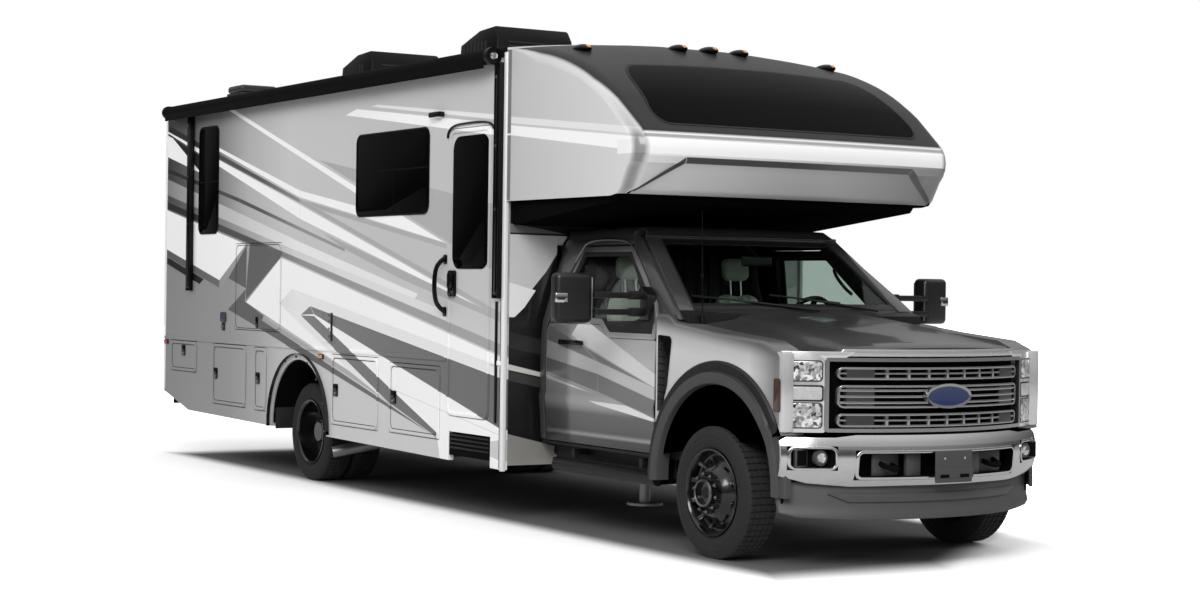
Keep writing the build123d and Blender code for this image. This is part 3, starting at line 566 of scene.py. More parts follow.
def ring(bm, box, axis, low, high, width, round_by, soft, finish=0):
    """Rounded rectangular frame of one width, box is (a0, a1, b0, b1)."""
    place = AXES[axis]
    rim = framed(bm, outline(bm, [place(low, a, b) for a, b in rectangle(*box)], round_by), width)
    far, _ = thickened(bm, rim, place(high - low, 0, 0), finish)
    soften(bm, sharp(edges_of(far)), soft)


def tube(bm, points, radius, steps=6, cyclic=False, finish=0):
    """Bent bar of one radius through a few points, as one smooth curve."""
    curve = bpy.data.curves.new("tube", "CURVE")
    curve.dimensions, curve.bevel_depth, curve.bevel_resolution = "3D", radius, 3
    curve.resolution_u, curve.use_fill_caps = steps, True
    spline = curve.splines.new("NURBS")
    spline.points.add(len(points) - 1)
    for point, place in zip(spline.points, points):
        point.co = (*place, 1)
    spline.order_u, spline.use_endpoint_u, spline.use_cyclic_u = 3, not cyclic, cyclic
    holder = bpy.data.objects.new("tube", curve)
    mesh = bpy.data.meshes.new_from_object(holder)
    before = len(bm.faces)
    bm.from_mesh(mesh)
    bm.faces.ensure_lookup_table()
    set_finish(bm.faces[before:], finish)
    bpy.data.objects.remove(holder)
    bpy.data.curves.remove(curve)
    bpy.data.meshes.remove(mesh)


def on_side(out, low, high):
    """Axis and both depths of a fitting on a side wall, measured out from the wall's face."""
    return "x", out * (SIDE_X + low), out * (SIDE_X + high)


def from_axle(node):
    """A CAD node's box as x0, x1, y0, y1, z0, z1, with y measured back from the front axle."""
    low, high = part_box(node)
    return low.x, high.x, low.y - FRONT_AXLE_Y, high.y - FRONT_AXLE_Y, low.z, high.z


RIM_WIDTH, RIM_PROUD, RIM_ROUND, SEAL_WIDTH = 0.026, 0.009, 0.07, 0.005
LATCH_HALF, LATCH_HALF_HEIGHT = 0.042, 0.050
# Latch places: door, y back from the front axle, height.
LATCHES = [
    ("cord_hatch", 8.36, 1.000), ("rear_compartment_door", 7.545, 0.818),
    ("narrow_compartment_door", 6.565, 0.816), ("middle_compartment_door", 4.955, 0.791),
    ("front_compartment_door", 3.905, 0.789), ("driver_side_front_door", 3.905, 0.789),
    ("driver_side_rear_door", 7.545, 0.818), ("upper_utility_door", 6.60, 1.300),
]
for door, latch_y, latch_z in LATCHES:
    half, rim_width, proud = LATCH_HALF, RIM_WIDTH, RIM_PROUD
    if door == "upper_utility_door":
        half, rim_width, proud = 0.020, 0.010, 0.003
    x0, _, y0, y1, z0, z1 = from_axle(door)
    out = -1 if x0 < 0 else 1
    bm = bmesh.new()
    ring(bm, (y0, y1, z0, z1), *on_side(out, -0.002, proud), rim_width, RIM_ROUND, proud * 0.8)
    for inner, lift in ((0.0005, proud * 0.35), (rim_width + 0.001, 0.0012)):
        ring(bm, (y0 + inner, y1 - inner, z0 + inner, z1 - inner), *on_side(out, -0.002, lift), SEAL_WIDTH,
             RIM_ROUND - inner, 0.0004, finish=1)
    piece(door + "_rim", bm, door + "_body", [side_paint, black_rubber])
    bm = bmesh.new()
    tall = LATCH_HALF_HEIGHT
    slab(bm, about(latch_y, latch_z, half, tall), *on_side(out, -0.001, 0.009), 0.012, 0.003)
    paddle = about(latch_y, latch_z + tall * 0.325, half * 0.6, tall * 0.425)
    slab(bm, paddle, *on_side(out, 0.008, 0.014), 0.007, 0.002)
    key_z = latch_z - tall * 0.5
    rod(bm, (out * SIDE_X, latch_y, key_z), (out * (SIDE_X + 0.014), latch_y, key_z), 0.008, 12, finish=1)
    piece(door + "_latch", bm, door + "_body", [gloss_black, chrome])


# ---------------------------------------------------------------- coach windows
# Frameless black glass bonded over each opening, with a thin black gasket. The wide side windows
# have a slider below a fixed pane, so thin bars cross them.
# Windows: side, y0, y1, z0, z1, height of the cross bar, y of the slider's bar (0 for none).
SIDE_WINDOWS = [
    (-1, 7.55, 8.00, 2.10, 3.05, 2.56, 0), (-1, 3.38, 4.60, 2.19, 2.80, 2.52, 3.95),
    (1, 7.55, 8.00, 2.10, 3.05, 2.56, 0), (1, 5.30, 6.50, 2.19, 2.80, 2.52, 5.90),
    (1, 2.70, 3.90, 2.19, 2.80, 2.52, 3.30),
]
REAR_WINDOW = (-0.55, 0.55, 2.15, 2.65)
COACH_REAR_Y = 8.88
LAP, GASKET_LAP, GASKET_WIDTH, BAR_HALF = 0.012, 0.020, 0.010, 0.005
PANE_ROUND, GASKET_ROUND = 0.070, 0.078
panes, gaskets = bmesh.new(), bmesh.new()


def grown(box, lap):
    """A box (a0, a1, b0, b1) made larger all round."""
    a0, a1, b0, b1 = box
    return a0 - lap, a1 + lap, b0 - lap, b1 + lap


for out, y0, y1, z0, z1, bar_z, bar_y in SIDE_WINDOWS:
    box = (y0, y1, z0, z1)
    slab(panes, rectangle(*grown(box, LAP)), *on_side(out, -0.008, 0.004), PANE_ROUND, 0.002)
    ring(gaskets, grown(box, GASKET_LAP), *on_side(out, -0.006, 0.006), GASKET_WIDTH, GASKET_ROUND, 0.002)
    bar_x = out * (SIDE_X + 0.002), out * (SIDE_X + 0.0055)
    block(gaskets, *bar_x, y0 - 0.002, y1 + 0.002, bar_z - BAR_HALF, bar_z + BAR_HALF)
    if bar_y:
        block(gaskets, *bar_x, bar_y - BAR_HALF, bar_y + BAR_HALF, z0 - 0.002, bar_z)
slab(panes, rectangle(*grown(REAR_WINDOW, LAP)), "y", COACH_REAR_Y - 0.008, COACH_REAR_Y + 0.004, PANE_ROUND,
     0.002)
ring(gaskets, grown(REAR_WINDOW, GASKET_LAP), "y", COACH_REAR_Y - 0.006, COACH_REAR_Y + 0.006, GASKET_WIDTH,
     GASKET_ROUND, 0.002)
piece("coach_window_panes", panes, "coach", dark_glass, ["coach_windows"])
piece("coach_window_gaskets", gaskets, "coach", gloss_black)


# ---------------------------------------------------------------- entry door
# A framed door, hinged at its front edge: painted outer skin, a bonded black pane, an alloy rim and
# a paddle latch. A black assist handle stands on the wall beside it and a drip cap over it.
_, _, y0, y1, z0, z1 = from_axle("entry_door")
bm = bmesh.new()
ring(bm, (y0 + 0.012, y1, z0, z1 - 0.004), *on_side(-1, -0.002, 0.008), RIM_WIDTH, 0.075, 0.003)
piece("entry_door_rim", bm, "entry_door_body", side_paint)
DOOR_PANE = rectangle(y0 + 0.035, y1 - 0.06, 1.765, z1 - 0.055)
bm = bmesh.new()
slab(bm, DOOR_PANE, *on_side(-1, -0.006, 0.005), 0.10, 0.003)
slab(bm, DOOR_PANE, *on_side(-1, -0.034, -0.042), 0.10, 0.002)
piece("entry_door_pane", bm, "entry_door_body", dark_glass)
bm = bmesh.new()
latch_y, latch_z = y1 - 0.125, 1.565
pocket = rectangle(latch_y, latch_y + 0.105, latch_z, latch_z + 0.19)
slab(bm, pocket, *on_side(-1, -0.001, 0.020), 0.02, 0.004)
paddle = rectangle(latch_y + 0.016, latch_y + 0.089, latch_z + 0.06, latch_z + 0.17)
slab(bm, paddle, *on_side(-1, 0.018, 0.034), 0.012, 0.004)
key_y, key_z = latch_y + 0.05, latch_z + 0.03
rod(bm, (-SIDE_X, key_y, key_z), (-SIDE_X - 0.026, key_y, key_z), 0.011, 14, finish=1)
piece("entry_door_latch", bm, "entry_door_body", [gloss_black, chrome])
bm = bmesh.new()
HANDLE_Y = y1 + 0.045
# The handle's bends: distance out from the wall, y back from its feet, height.
HANDLE_BENDS = [(-0.002, 0, 1.85), (0.035, 0, 1.83), (0.085, 0.01, 1.76), (0.085, 0.01, 1.54),
                (0.035, 0, 1.47), (-0.002, 0, 1.45)]
tube(bm, [(-SIDE_X - off, HANDLE_Y + back, z) for off, back, z in HANDLE_BENDS], 0.017)
for z in (1.835, 1.455):
    slab(bm, about(HANDLE_Y, z, 0.024, 0.035), *on_side(-1, -0.001, 0.010), 0.015, 0.003)
piece("assist_handle", bm, "coach", gloss_black)
bm = bmesh.new()
CAP_BENDS = [(0.008, y1 + 0.022, z1 - 0.06), (0.010, y1 + 0.020, z1 + 0.022),
             (0.012, (y0 + y1) / 2, z1 + 0.036), (0.010, y0 - 0.030, z1 + 0.022),
             (0.008, y0 - 0.032, z1 - 0.03)]
tube(bm, [(-SIDE_X - off, y, z) for off, y, z in CAP_BENDS], 0.009, 8)
piece("entry_drip_cap", bm, "coach", gloss_black)
bm = bmesh.new()
slab(bm, rectangle(3.13, 3.31, 2.875, 2.915), *on_side(-1, -0.001, 0.045), 0.015, 0.006)
slab(bm, rectangle(3.15, 3.29, 2.870, 2.880), *on_side(-1, 0.004, 0.040), 0.004, finish=1)
porch_lens = plain("porch_lens", 225, 0.25, spread=0.05, Specular_IOR_Level=0.4)
piece("porch_light", bm, "coach", [gloss_black, porch_lens])


# ---------------------------------------------------------------- wheel arches, rails and side fittings
# Grey flares are riveted over the rear wheel openings, with a mud flap behind. A rub rail covers the
# joint of wall and skirt. Small moulded fittings: marker lamps, a power inlet, a level gauge.
def arc(start, through, end, steps):
    """Points of the arc through three places, both ends included."""
    (ax, ay), (bx, by), (cx, cy) = start, through, end
    twice = 2 * (ax * (by - cy) + bx * (cy - ay) + cx * (ay - by))
    a2, b2, c2 = ax * ax + ay * ay, bx * bx + by * by, cx * cx + cy * cy
    centre = Vector(((a2 * (by - cy) + b2 * (cy - ay) + c2 * (ay - by)) / twice,
                     (a2 * (cx - bx) + b2 * (ax - cx) + c2 * (bx - ax)) / twice))
    from_centre = Vector(start) - centre
    halfway = Vector(through) - centre
    sweep = from_centre.angle_signed(halfway) + halfway.angle_signed(Vector(end) - centre)
    return [tuple(centre + Matrix.Rotation(-sweep * i / steps, 2) @ from_centre) for i in range(steps + 1)]


REAR_AXLE_Y = (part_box("rear_rims_left")[0].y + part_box("rear_rims_left")[1].y) / 2 - FRONT_AXLE_Y
WELL_R, WELL_Z = 0.560, 0.450
FLARE_OUTER, FLARE_WIDTH, FLARE_PROUD, FLARE_FOOT_Z = 0.610, 0.095, 0.030, 0.42
SIDES = ((-1, "right"), (1, "left"))
# After each rivet the faces at this many of the latest corners turn to rubber: rivets and, at the
# rear foot, the flare's edges.
RUBBER_CORNERS = 37
flare_grey = plain("flare_grey", 66, 0.5, grain=0.3, grain_scale=420, Specular_IOR_Level=0.25)
black_liner = plain("black_liner", 4, 0.9, spread=0.2, grain=0.2, Specular_IOR_Level=0.1)


def ball(bm, centre, size, around, rows, finish=0):
    """Ball, stretched to three half sizes."""
    matrix = Matrix.LocRotScale(Vector(centre), None, Vector(size))
    made = bmesh.ops.create_uvsphere(bm, u_segments=around, v_segments=rows, radius=1, matrix=matrix)
    set_finish(faces_of(made["verts"]), finish)


def over_axle(radius, steps=28):
    """Half round over the rear axle, from the front foot to the back one."""
    feet = (REAR_AXLE_Y - radius, WELL_Z), (REAR_AXLE_Y + radius, WELL_Z)
    return arc(feet[0], (REAR_AXLE_Y, WELL_Z + radius), feet[1], steps)


def everything(bm):
    return bm.verts[:] + bm.edges[:] + bm.faces[:]


for out, side in SIDES:
    bm = bmesh.new()
    outer = [(REAR_AXLE_Y - FLARE_OUTER, 0.20)] + over_axle(FLARE_OUTER) + [(REAR_AXLE_Y + FLARE_OUTER, 0.20)]
    rim = framed(bm, outline(bm, [(out * (SIDE_X - 0.006), y, z) for y, z in outer], 0), FLARE_WIDTH)
    far, _ = thickened(bm, rim, (out * (FLARE_PROUD + 0.006), 0, 0), 0)
    soften(bm, sharp(edges_of(far)), 0.012, 3)
    bmesh.ops.bisect_plane(bm, geom=everything(bm), plane_co=(0, 0, FLARE_FOOT_Z), plane_no=(0, 0, -1),
                           clear_outer=True)
    bmesh.ops.holes_fill(bm, edges=[e for e in bm.edges if e.is_boundary])
    for y, z in over_axle(FLARE_OUTER - 0.028, 8):
        ball(bm, (out * (SIDE_X + FLARE_PROUD - 0.002), y, z), (0.010, 0.010, 0.010), 8, 5)
        set_finish(faces_of(bm.verts[-RUBBER_CORNERS:]), 1)
    piece("rear_flare_" + side, bm, "coach", [flare_grey, black_rubber])
    bm = bmesh.new()
    around = over_axle(WELL_R - 0.008)
    rows = [[bm.verts.new((out * x, y, z)) for y, z in around] for x in (0.60, SIDE_X - 0.010)]
    edges = [bm.edges.new(pair) for row in rows for pair in zip(row, row[1:])]
    bmesh.ops.bridge_loops(bm, edges=edges)
    bmesh.ops.solidify(bm, geom=bm.faces[:], thickness=0.004)
    piece("rear_liner_" + side, bm, "coach", black_liner)
    bm = bmesh.new()
    flap = REAR_AXLE_Y + WELL_R
    block(bm, out * 0.70, out * 1.26, flap - 0.028, flap - 0.020, 0.40, 0.66, 0.003)
    block(bm, out * 0.70, out * 1.26, flap - 0.036, flap - 0.012, 0.640, 0.675, 0.004)
    piece("mud_flap_" + side, bm, "coach", black_rubber)

bm = bmesh.new()
RUB_RAIL = (1.094, 1.124)
for out, spans in ((-1, [(2.225, 2.385), (3.062, 8.87)]), (1, [(2.225, 8.87)])):
    for start, end in spans:
        block(bm, out * (SIDE_X - 0.002), out * (SIDE_X + 0.007), start, end, *RUB_RAIL, 0.0035, 3)
piece("rub_rails", bm, "coach", side_paint)

amber_lens = plain("amber_lens", 215, 0.18, (1, 0.42, 0.08), spread=0.1, scale=60, Coat_Weight=0.5)
red_lens = plain("red_lens", 170, 0.18, (1, 0.05, 0.04), spread=0.1, scale=60, Coat_Weight=0.5)
bm = bmesh.new()
for out in (-1, 1):
    for y, z, lens in ((8.81, 1.068, 1), (5.24, 1.050, 2)):
        slab(bm, about(y, z, 0.045, 0.020), *on_side(out, -0.001, 0.012), 0.008, 0.002)
        slab(bm, about(y, z, 0.036, 0.014), *on_side(out, 0.010, 0.020), 0.006, 0.003, finish=lens)
piece("side_markers", bm, "coach", [black_plastic, red_lens, amber_lens])

inlet_blue = plain("inlet_blue", 58, 0.4, (0.6, 0.75, 1.3))
bm = bmesh.new()
slab(bm, rectangle(7.31, 7.43, 1.285, 1.375), *on_side(-1, -0.001, 0.014), 0.02, 0.004, finish=1)
slab(bm, rectangle(7.335, 7.405, 1.21, 1.28), *on_side(-1, -0.001, 0.008), 0.012, 0.003)
rod(bm, (-SIDE_X, 7.37, 1.245), (-SIDE_X - 0.018, 7.37, 1.245), 0.020, 20, finish=2)
ring(bm, (4.985, 5.215, 1.165, 1.415), *on_side(-1, -0.001, 0.003), 0.006, 0.012, 0.001, finish=3)
block(bm, 0.001 - SIDE_X, -SIDE_X - 0.012, 5.035, 5.055, 1.18, 1.41, 0.004)
for z in (1.22, 1.28, 1.34, 1.39):
    rod(bm, (-SIDE_X, 5.10, z), (-SIDE_X - 0.006, 5.10, z), 0.010, 16, finish=2)
piece("side_fittings", bm, "coach", [black_plastic, inlet_blue, brushed_metal, side_paint])


# ---------------------------------------------------------------- awning
# A rolled cloth awning on the entry side: the roller with its end caps hangs from a rail at the
# roof's edge, and two folding arms lie in channels screwed to the wall.
awning_cloth = plain("awning_cloth", 8, 0.9, spread=0.25, scale=30, grain=0.3, grain_scale=700,
                     Specular_IOR_Level=0.1)
satin_black = plain("satin_black", 8, 0.35, spread=0.2, scale=3, Specular_IOR_Level=0.2)
x0, _, _, y1, z0, _ = from_axle("awning")
ROLLER_X, ROLLER_Z, ROLLER_R = -1.345, 3.245, 0.054
CAP_LENGTH = 0.045
bm = bmesh.new()
rod(bm, (ROLLER_X, 2.29 + CAP_LENGTH, ROLLER_Z), (ROLLER_X, y1 - CAP_LENGTH, ROLLER_Z), ROLLER_R, 28)
block(bm, ROLLER_X - 0.052, ROLLER_X - 0.046, 2.35, y1 - 0.06, ROLLER_Z - 0.085, ROLLER_Z - 0.02, 0.002)
for cap_y, end_y, tip_y in ((2.29 + CAP_LENGTH, 2.29, 2.275), (y1 - CAP_LENGTH, y1, y1 + 0.005)):
    rod(bm, (ROLLER_X, cap_y, ROLLER_Z), (ROLLER_X, end_y, ROLLER_Z), 0.062, 28, finish=1)
    rod(bm, (ROLLER_X, end_y, ROLLER_Z), (ROLLER_X, tip_y, ROLLER_Z), 0.030, 20, 0.022, finish=2)
block(bm, -SIDE_X, -SIDE_X - 0.016, 2.23, 8.76, 3.235, 3.300, 0.004, finish=1)
for arm_y in (2.275, 8.19):
    for flange in (-1, 1):
        block(bm, -SIDE_X, x0 + 0.078, arm_y + flange * 0.040, arm_y + flange * 0.034, z0, 3.20, 0.002,
              finish=1)
    block(bm, -SIDE_X, -SIDE_X - 0.006, arm_y - 0.040, arm_y + 0.040, z0, 3.20, finish=1)
    block(bm, -SIDE_X - 0.006, -SIDE_X - 0.036, arm_y - 0.028, arm_y + 0.028, z0 + 0.02, 3.16, 0.003,
          finish=1)
    block(bm, -SIDE_X - 0.034, -SIDE_X - 0.044, arm_y - 0.012, arm_y + 0.012, z0 + 0.05, 3.14, 0.003,
          finish=3)
    for z in (z0 + 0.04, z0 + 0.62, 2.62, 3.10):
        rod(bm, (-SIDE_X - 0.034, arm_y, z), (-SIDE_X - 0.050, arm_y, z), 0.011, 12, finish=2)
block(bm, -SIDE_X, -SIDE_X - 0.012, 2.290, 2.315, 0.69, 1.54, 0.003, finish=1)
piece("awning_roll_and_arms", bm, "coach", [awning_cloth, satin_black, chrome, gloss_black],
      ["awning"])


# ---------------------------------------------------------------- roof
# A white membrane over the coach with black edge rails, two air conditioners under black ribbed
# shrouds, and a vent with a domed lid.
repaint("coach_roof", plain("roof_membrane", 205, 0.75, spread=0.08, scale=2.5, grain=0.15, grain_scale=150))
COACH_FRONT_Y, ROOF_CROWN, SHROUD_HALF = 2.205, 3.385, 0.352
bm = bmesh.new()
for out in (-1, 1):
    block(bm, out * (SIDE_X - 0.004), out * (SIDE_X + 0.010), COACH_FRONT_Y, COACH_REAR_Y, 3.268, 3.312,
          0.004)
block(bm, -SIDE_X, SIDE_X, COACH_REAR_Y - 0.02, COACH_REAR_Y + 0.010, 3.255, 3.312, 0.006)
piece("roof_edge_rails", bm, "coach", satin_black)

for index, start in enumerate((4.05, 6.33)):
    bm = bmesh.new()
    profile = [(start, ROOF_CROWN - 0.03), (start + 0.004, 3.62), (start + 0.07, 3.708),
               (start + 0.30, 3.695), (start + 0.62, 3.60), (start + 0.655, ROOF_CROWN - 0.03)]
    slab(bm, profile, "x", -SHROUD_HALF, SHROUD_HALF, soft=0.028)
    for rib in range(7):
        y = start + 0.17 + rib * 0.06
        for out in (-1, 1):
            block(bm, out * 0.345, out * 0.355, y, y + 0.028, 3.44, 3.60, 0.003, finish=1)
    for rib in range(5):
        z = 3.44 + rib * 0.034
        block(bm, -0.25, 0.25, start - 0.002, start + 0.02, z, z + 0.016, 0.003, finish=1)
    for x in (-0.12, 0.12):
        block(bm, x - 0.02, x + 0.02, start + 0.12, start + 0.56, 3.60, 3.692, 0.01)
    piece(f"air_conditioner_shroud_{index + 1}", bm, "coach", [satin_black, black_rubber],
          ["air_conditioners"], angle=40)

x0, x1, y0, y1, z0, z1 = from_axle("roof_vent")
bm = bmesh.new()
block(bm, x0, x1, y0, y1, z0, z1 - 0.07, 0.008)
slab(bm, rectangle(y0 + 0.004, y1 - 0.004, z1 - 0.07, z1 - 0.002), "x", x0 + 0.004, x1 - 0.004, soft=0.025,
     finish=1)
for y in (0.25, 0.5, 0.75):
    middle = y0 + (y1 - y0) * y
    block(bm, x0 + 0.03, x1 - 0.03, middle - 0.008, middle + 0.008, z1 - 0.012, z1, 0.003, finish=1)
smoke_plastic = plain("smoke_plastic", 42, 0.2, spread=0.2, Specular_IOR_Level=0.5)
piece("roof_vent_lid", bm, "coach", [black_plastic, smoke_plastic], ["roof_vent"])


# ---------------------------------------------------------------- cab-over cap
# One moulded nose over the cab: a rounded shell painted light at the sides with the film bands
# carried round it, dark round its wide black window, and gloss black underneath.
CAP_BOTTOM, CAP_HALF = 2.235, 1.285
crown_arc = arc((0.80, 2.862), (1.48, 3.186), (2.205, 3.285), 14)
nose_arc = arc((0.552, 2.400), (0.492, 2.540), (0.560, 2.665), 6)
CAP_PROFILE = [(2.205, CAP_BOTTOM), (0.735, CAP_BOTTOM), (0.665, 2.246), (0.628, 2.282)]
CAP_PROFILE += nose_arc + crown_arc
SWAGE_TOP, SWAGE_LOW, RECESS = 2.482, 2.440, 0.020
SWAGE_TURN, SWAGE_END = (0.93, SWAGE_TOP), (1.215, 2.275)
CORNER_R, CAP_CORE = 0.10, (1.75, 2.55)
CAP_BOW, CAP_LEAD, CAP_CROWN = 0.045, 0.020, 0.085


def within(value, low, high):
    """How far value has gone from low to high, kept between 0 and 1."""
    return min(1.0, max(0.0, (value - low) / (high - low)))


def cap_form(x, y, z):
    """Gives a straight-sided cap its bowed nose, rounded front corners and crowned top."""
    nose = within(1.15 - y, 0.0, 0.5)
    across = min(1.0, abs(x) / CAP_HALF)
    past = max(0.0, abs(x) - (CAP_HALF - CORNER_R))
    fall = (CORNER_R - (max(0.0, CORNER_R ** 2 - past ** 2)) ** 0.5) * within(2.15 - y, 0.0, 0.35)
    inward = (Vector(CAP_CORE) - Vector((y, z))).normalized() * fall
    y, z = y + inward.x, z + inward.y * (z > 2.3)
    crown = CAP_CROWN * within(y, 0.6, 1.6) * (1 - across ** 2) * within(z, 2.7, 2.9)
    return (x, y + nose * (CAP_BOW * across ** 2.2 - CAP_LEAD), z + crown)


def cap_front_y(z):
    """Place of the straight profile's front at a height."""
    for (ya, za), (yb, zb) in zip(CAP_PROFILE[2:], CAP_PROFILE[3:]):
        if za <= z <= zb:
            return ya + (yb - ya) * (z - za) / (zb - za)
    return CAP_PROFILE[2][0]


def cut(bm, point, normal, geom=None):
    bmesh.ops.bisect_plane(bm, geom=geom or everything(bm), plane_co=point, plane_no=normal)


def cut_across(bm, widths, heights):
    """Cuts a form upright at distances each side of the middle, and level at heights."""
    for x in widths:
        for out in (-1, 1):
            cut(bm, (out * x, 0, 0), (1, 0, 0))
    for z in heights:
        cut(bm, (0, 0, z), (0, 0, 1))


def swage_edge(z, inset):
    """Half width of the recessed panel at a height."""
    (xa, za), (xb, zb) = SWAGE_TURN, SWAGE_END
    return xa + (xb - xa) * (z - za) / (zb - za) - inset


def cap_paint():
    made, tree, shader = lacquer("cap_paint")
    across, back, z = split(tree, here(tree))
    x, y = math(tree, "ABSOLUTE", across), math(tree, "SUBTRACT", back, FRONT_AXLE_Y)
    along = span(tree, y, 0.5, 2.2)
    side = add(tree, "CombineXYZ", {0: y, 1: z, 2: 1.0}).outputs[0]
    front = add(tree, "CombineXYZ", {0: x, 1: z, 2: 1.0}).outputs[0]
    colour = fade(tree, along, [(0.5, 206), (2.2, 186)], 0.5, 2.2)
    colour = filmed(tree, colour, side, [
        (222, [(2.3, 2.835), (0.4, 2.645), (0.4, 2.598), (2.3, 2.785)]),
        (240, [(2.3, 2.775), (0.4, 2.585), (0.4, 2.490), (2.3, 2.705)]),
        (118, [(2.14, 2.70), (2.205, 2.70), (2.205, 3.4), (2.14, 3.4)]),
        (118, [(2.14, 2.24), (2.205, 2.24), (2.205, 2.69), (2.14, 2.69)]),
    ])
    ahead = math(tree, "LESS_THAN", y, 0.76)
    # The lower front panel's silver is painted darker towards the +x side as painted shade, as if lit from
    # the entry side.
    panel_silver_and_shade = fade(tree, span(tree, across, -1.2, 1.2), [(-1.2, 218), (-0.5, 205), (0.3, 182), (1.2, 128)],
                 -1.2, 1.2)
    mask = film_mask(tree, front, [(-0.1, 2.50), (1.232, 2.50), (1.232, 2.20), (-0.1, 2.20)])
    colour = mixed(tree, math(tree, "MULTIPLY", mask, ahead), colour, panel_silver_and_shade)
    # The two darkest bands (84) are painted shade in the swage groove's step; the white and grey bands above
    # them are film.
    colour = filmed(tree, colour, front, [
        (84, [(-0.1, SWAGE_TOP), (SWAGE_TURN[0], SWAGE_TOP), (0.915, SWAGE_LOW), (-0.1, SWAGE_LOW)]),
        (84, [(SWAGE_TURN[0], SWAGE_TOP), (1.232, 2.262), (1.20, 2.258), (0.915, SWAGE_LOW)]),
        (232, [(-0.1, 2.588), (1.4, 2.588), (1.4, 2.494), (-0.1, 2.494)]),
        (150, [(-0.1, 2.625), (1.225, 2.625), (1.225, 2.600), (-0.1, 2.600)]),
    ], ahead)
    edge = span(tree, y, 0.5, 1.1, 1.228, 1.270)
    dark = math(tree, "MINIMUM", math(tree, "SUBTRACT", edge, x), math(tree, "SUBTRACT", z, 2.628))
    dark = math(tree, "MULTIPLY", dark, 60, clamp=True)
    # Painted shade and dark reflection on the rounded front corners below the window, where the surface turns
    # between side and front.
    facing = split(tree, add(tree, "NewGeometry").outputs["Normal"])
    turned = math(tree, "ABSOLUTE", math(tree, "MULTIPLY", facing["X"], facing["Y"]))
    corner_painted_shade = span(tree, turned, 0.16, 0.44, 0.0, 0.75)
    low = math(tree, "MULTIPLY", span(tree, z, 2.95, 2.62), math(tree, "LESS_THAN", y, 1.0))
    colour = mixed(tree, math(tree, "MULTIPLY", corner_painted_shade, low), colour, grey(48))
    colour = mixed(tree, dark, colour, grey(46))
    wire(tree, math(tree, "MULTIPLY", math(tree, "SUBTRACT", 1.0, dark), 0.5), shader.inputs["Coat Weight"])
    specular = math(tree, "SUBTRACT", 0.4, math(tree, "MULTIPLY", dark, 0.3))
    wire(tree, specular, shader.inputs["Specular IOR Level"])
    skin(tree, shader, colour)
    return made


under_black = plain("under_black", 14, 0.3, spread=0.2, scale=2, rough_spread=0.03, Specular_IOR_Level=0.0)
bm = bmesh.new()
slab(bm, CAP_PROFILE, "x", -CAP_HALF, CAP_HALF)
cut_across(bm, (0.25, 0.5, 0.75, 0.93, 1.08, 1.185, 1.22, 1.245, 1.265, 1.278, 1.284), (SWAGE_TOP, SWAGE_LOW))
slope = Vector((SWAGE_END[0] - SWAGE_TURN[0], 0, SWAGE_END[1] - SWAGE_TURN[1])).normalized()
for out in (-1, 1):
    for inset in (0.0, 0.028):
        low_front = [f for f in bm.faces if f.calc_center_median().y < 0.8
                     and f.calc_center_median().z < SWAGE_TOP]
        low_front = list({g for f in low_front for g in (f, *f.edges, *f.verts)})
        cut(bm, (out * (SWAGE_TURN[0] - inset), 0, SWAGE_TOP), (out * -slope.z, 0, slope.x), low_front)
for vert in bm.verts:
    x, y, z = vert.co
    if y < 0.8 and CAP_BOTTOM + 0.001 < z < SWAGE_LOW + 0.001 and abs(x) <= swage_edge(z, 0.027):
        vert.co.y += RECESS
for vert in bm.verts:
    vert.co = cap_form(*vert.co)
bmesh.ops.remove_doubles(bm, verts=bm.verts, dist=0.0005)
bmesh.ops.recalc_face_normals(bm, faces=bm.faces)
below = [f for f in bm.faces if f.normal.z < -0.8 and f.calc_center_median().z < CAP_BOTTOM + 0.03]
set_finish(below, 1)
cap_shell = piece("cap_shell", bm, "coach", [cap_paint(), under_black], ["cabover_cap"],
                  angle=38)
cap_shell.modifiers.new("flat_sides", "WEIGHTED_NORMAL").keep_sharp = True


def cap_overlay(name, corners, round_by, proud, thick, finish, frame_width=0):
    """A thin moulded sheet that follows the cap's front; corners are (x, height on the profile)."""
    bm = bmesh.new()
    face = outline(bm, [(x, 0, z) for x, z in corners], round_by, 7)
    if frame_width:
        framed(bm, face, frame_width)
    low, high = min(z for x, z in corners), max(z for x, z in corners)
    cut_across(bm, (0.25, 0.5, 0.75, 0.93), [z for y, z in CAP_PROFILE if low < z < high])
    for vert in bm.verts:
        vert.co = cap_form(vert.co.x, cap_front_y(vert.co.z), vert.co.z)
    bmesh.ops.recalc_face_normals(bm, faces=bm.faces)
    if sum(f.normal.y for f in bm.faces) > 0:
        bmesh.ops.reverse_faces(bm, faces=bm.faces)
    for vert in bm.verts:
        vert.co += vert.normal * proud
    bmesh.ops.solidify(bm, geom=bm.faces[:], thickness=thick)
    piece(name, bm, "coach", finish, angle=38)


PANE = [(-1.085, 2.700), (1.085, 2.700), (0.99, 3.090), (-0.99, 3.090)]
cap_overlay("cap_pane", PANE, 0.11, 0.006, 0.010, dark_glass)
GASKET = [(-1.10, 2.688), (1.10, 2.688), (1.003, 3.101), (-1.003, 3.101)]
cap_overlay("cap_pane_gasket", GASKET, 0.12, 0.004, 0.008, black_rubber, 0.02)

# The cap's underside slopes down over the cab's roof behind its front edge, in gloss black.
bm = bmesh.new()
UNDERSIDE = [(0.86, CAP_BOTTOM + 0.004), (2.19, CAP_BOTTOM + 0.004), (2.19, 2.072), (2.02, 2.080),
             (0.90, 2.196)]
slab(bm, UNDERSIDE, "x", -(CAP_HALF - 0.045), CAP_HALF - 0.030, soft=0.02)
piece("cap_underside", bm, "coach", under_black, angle=35)

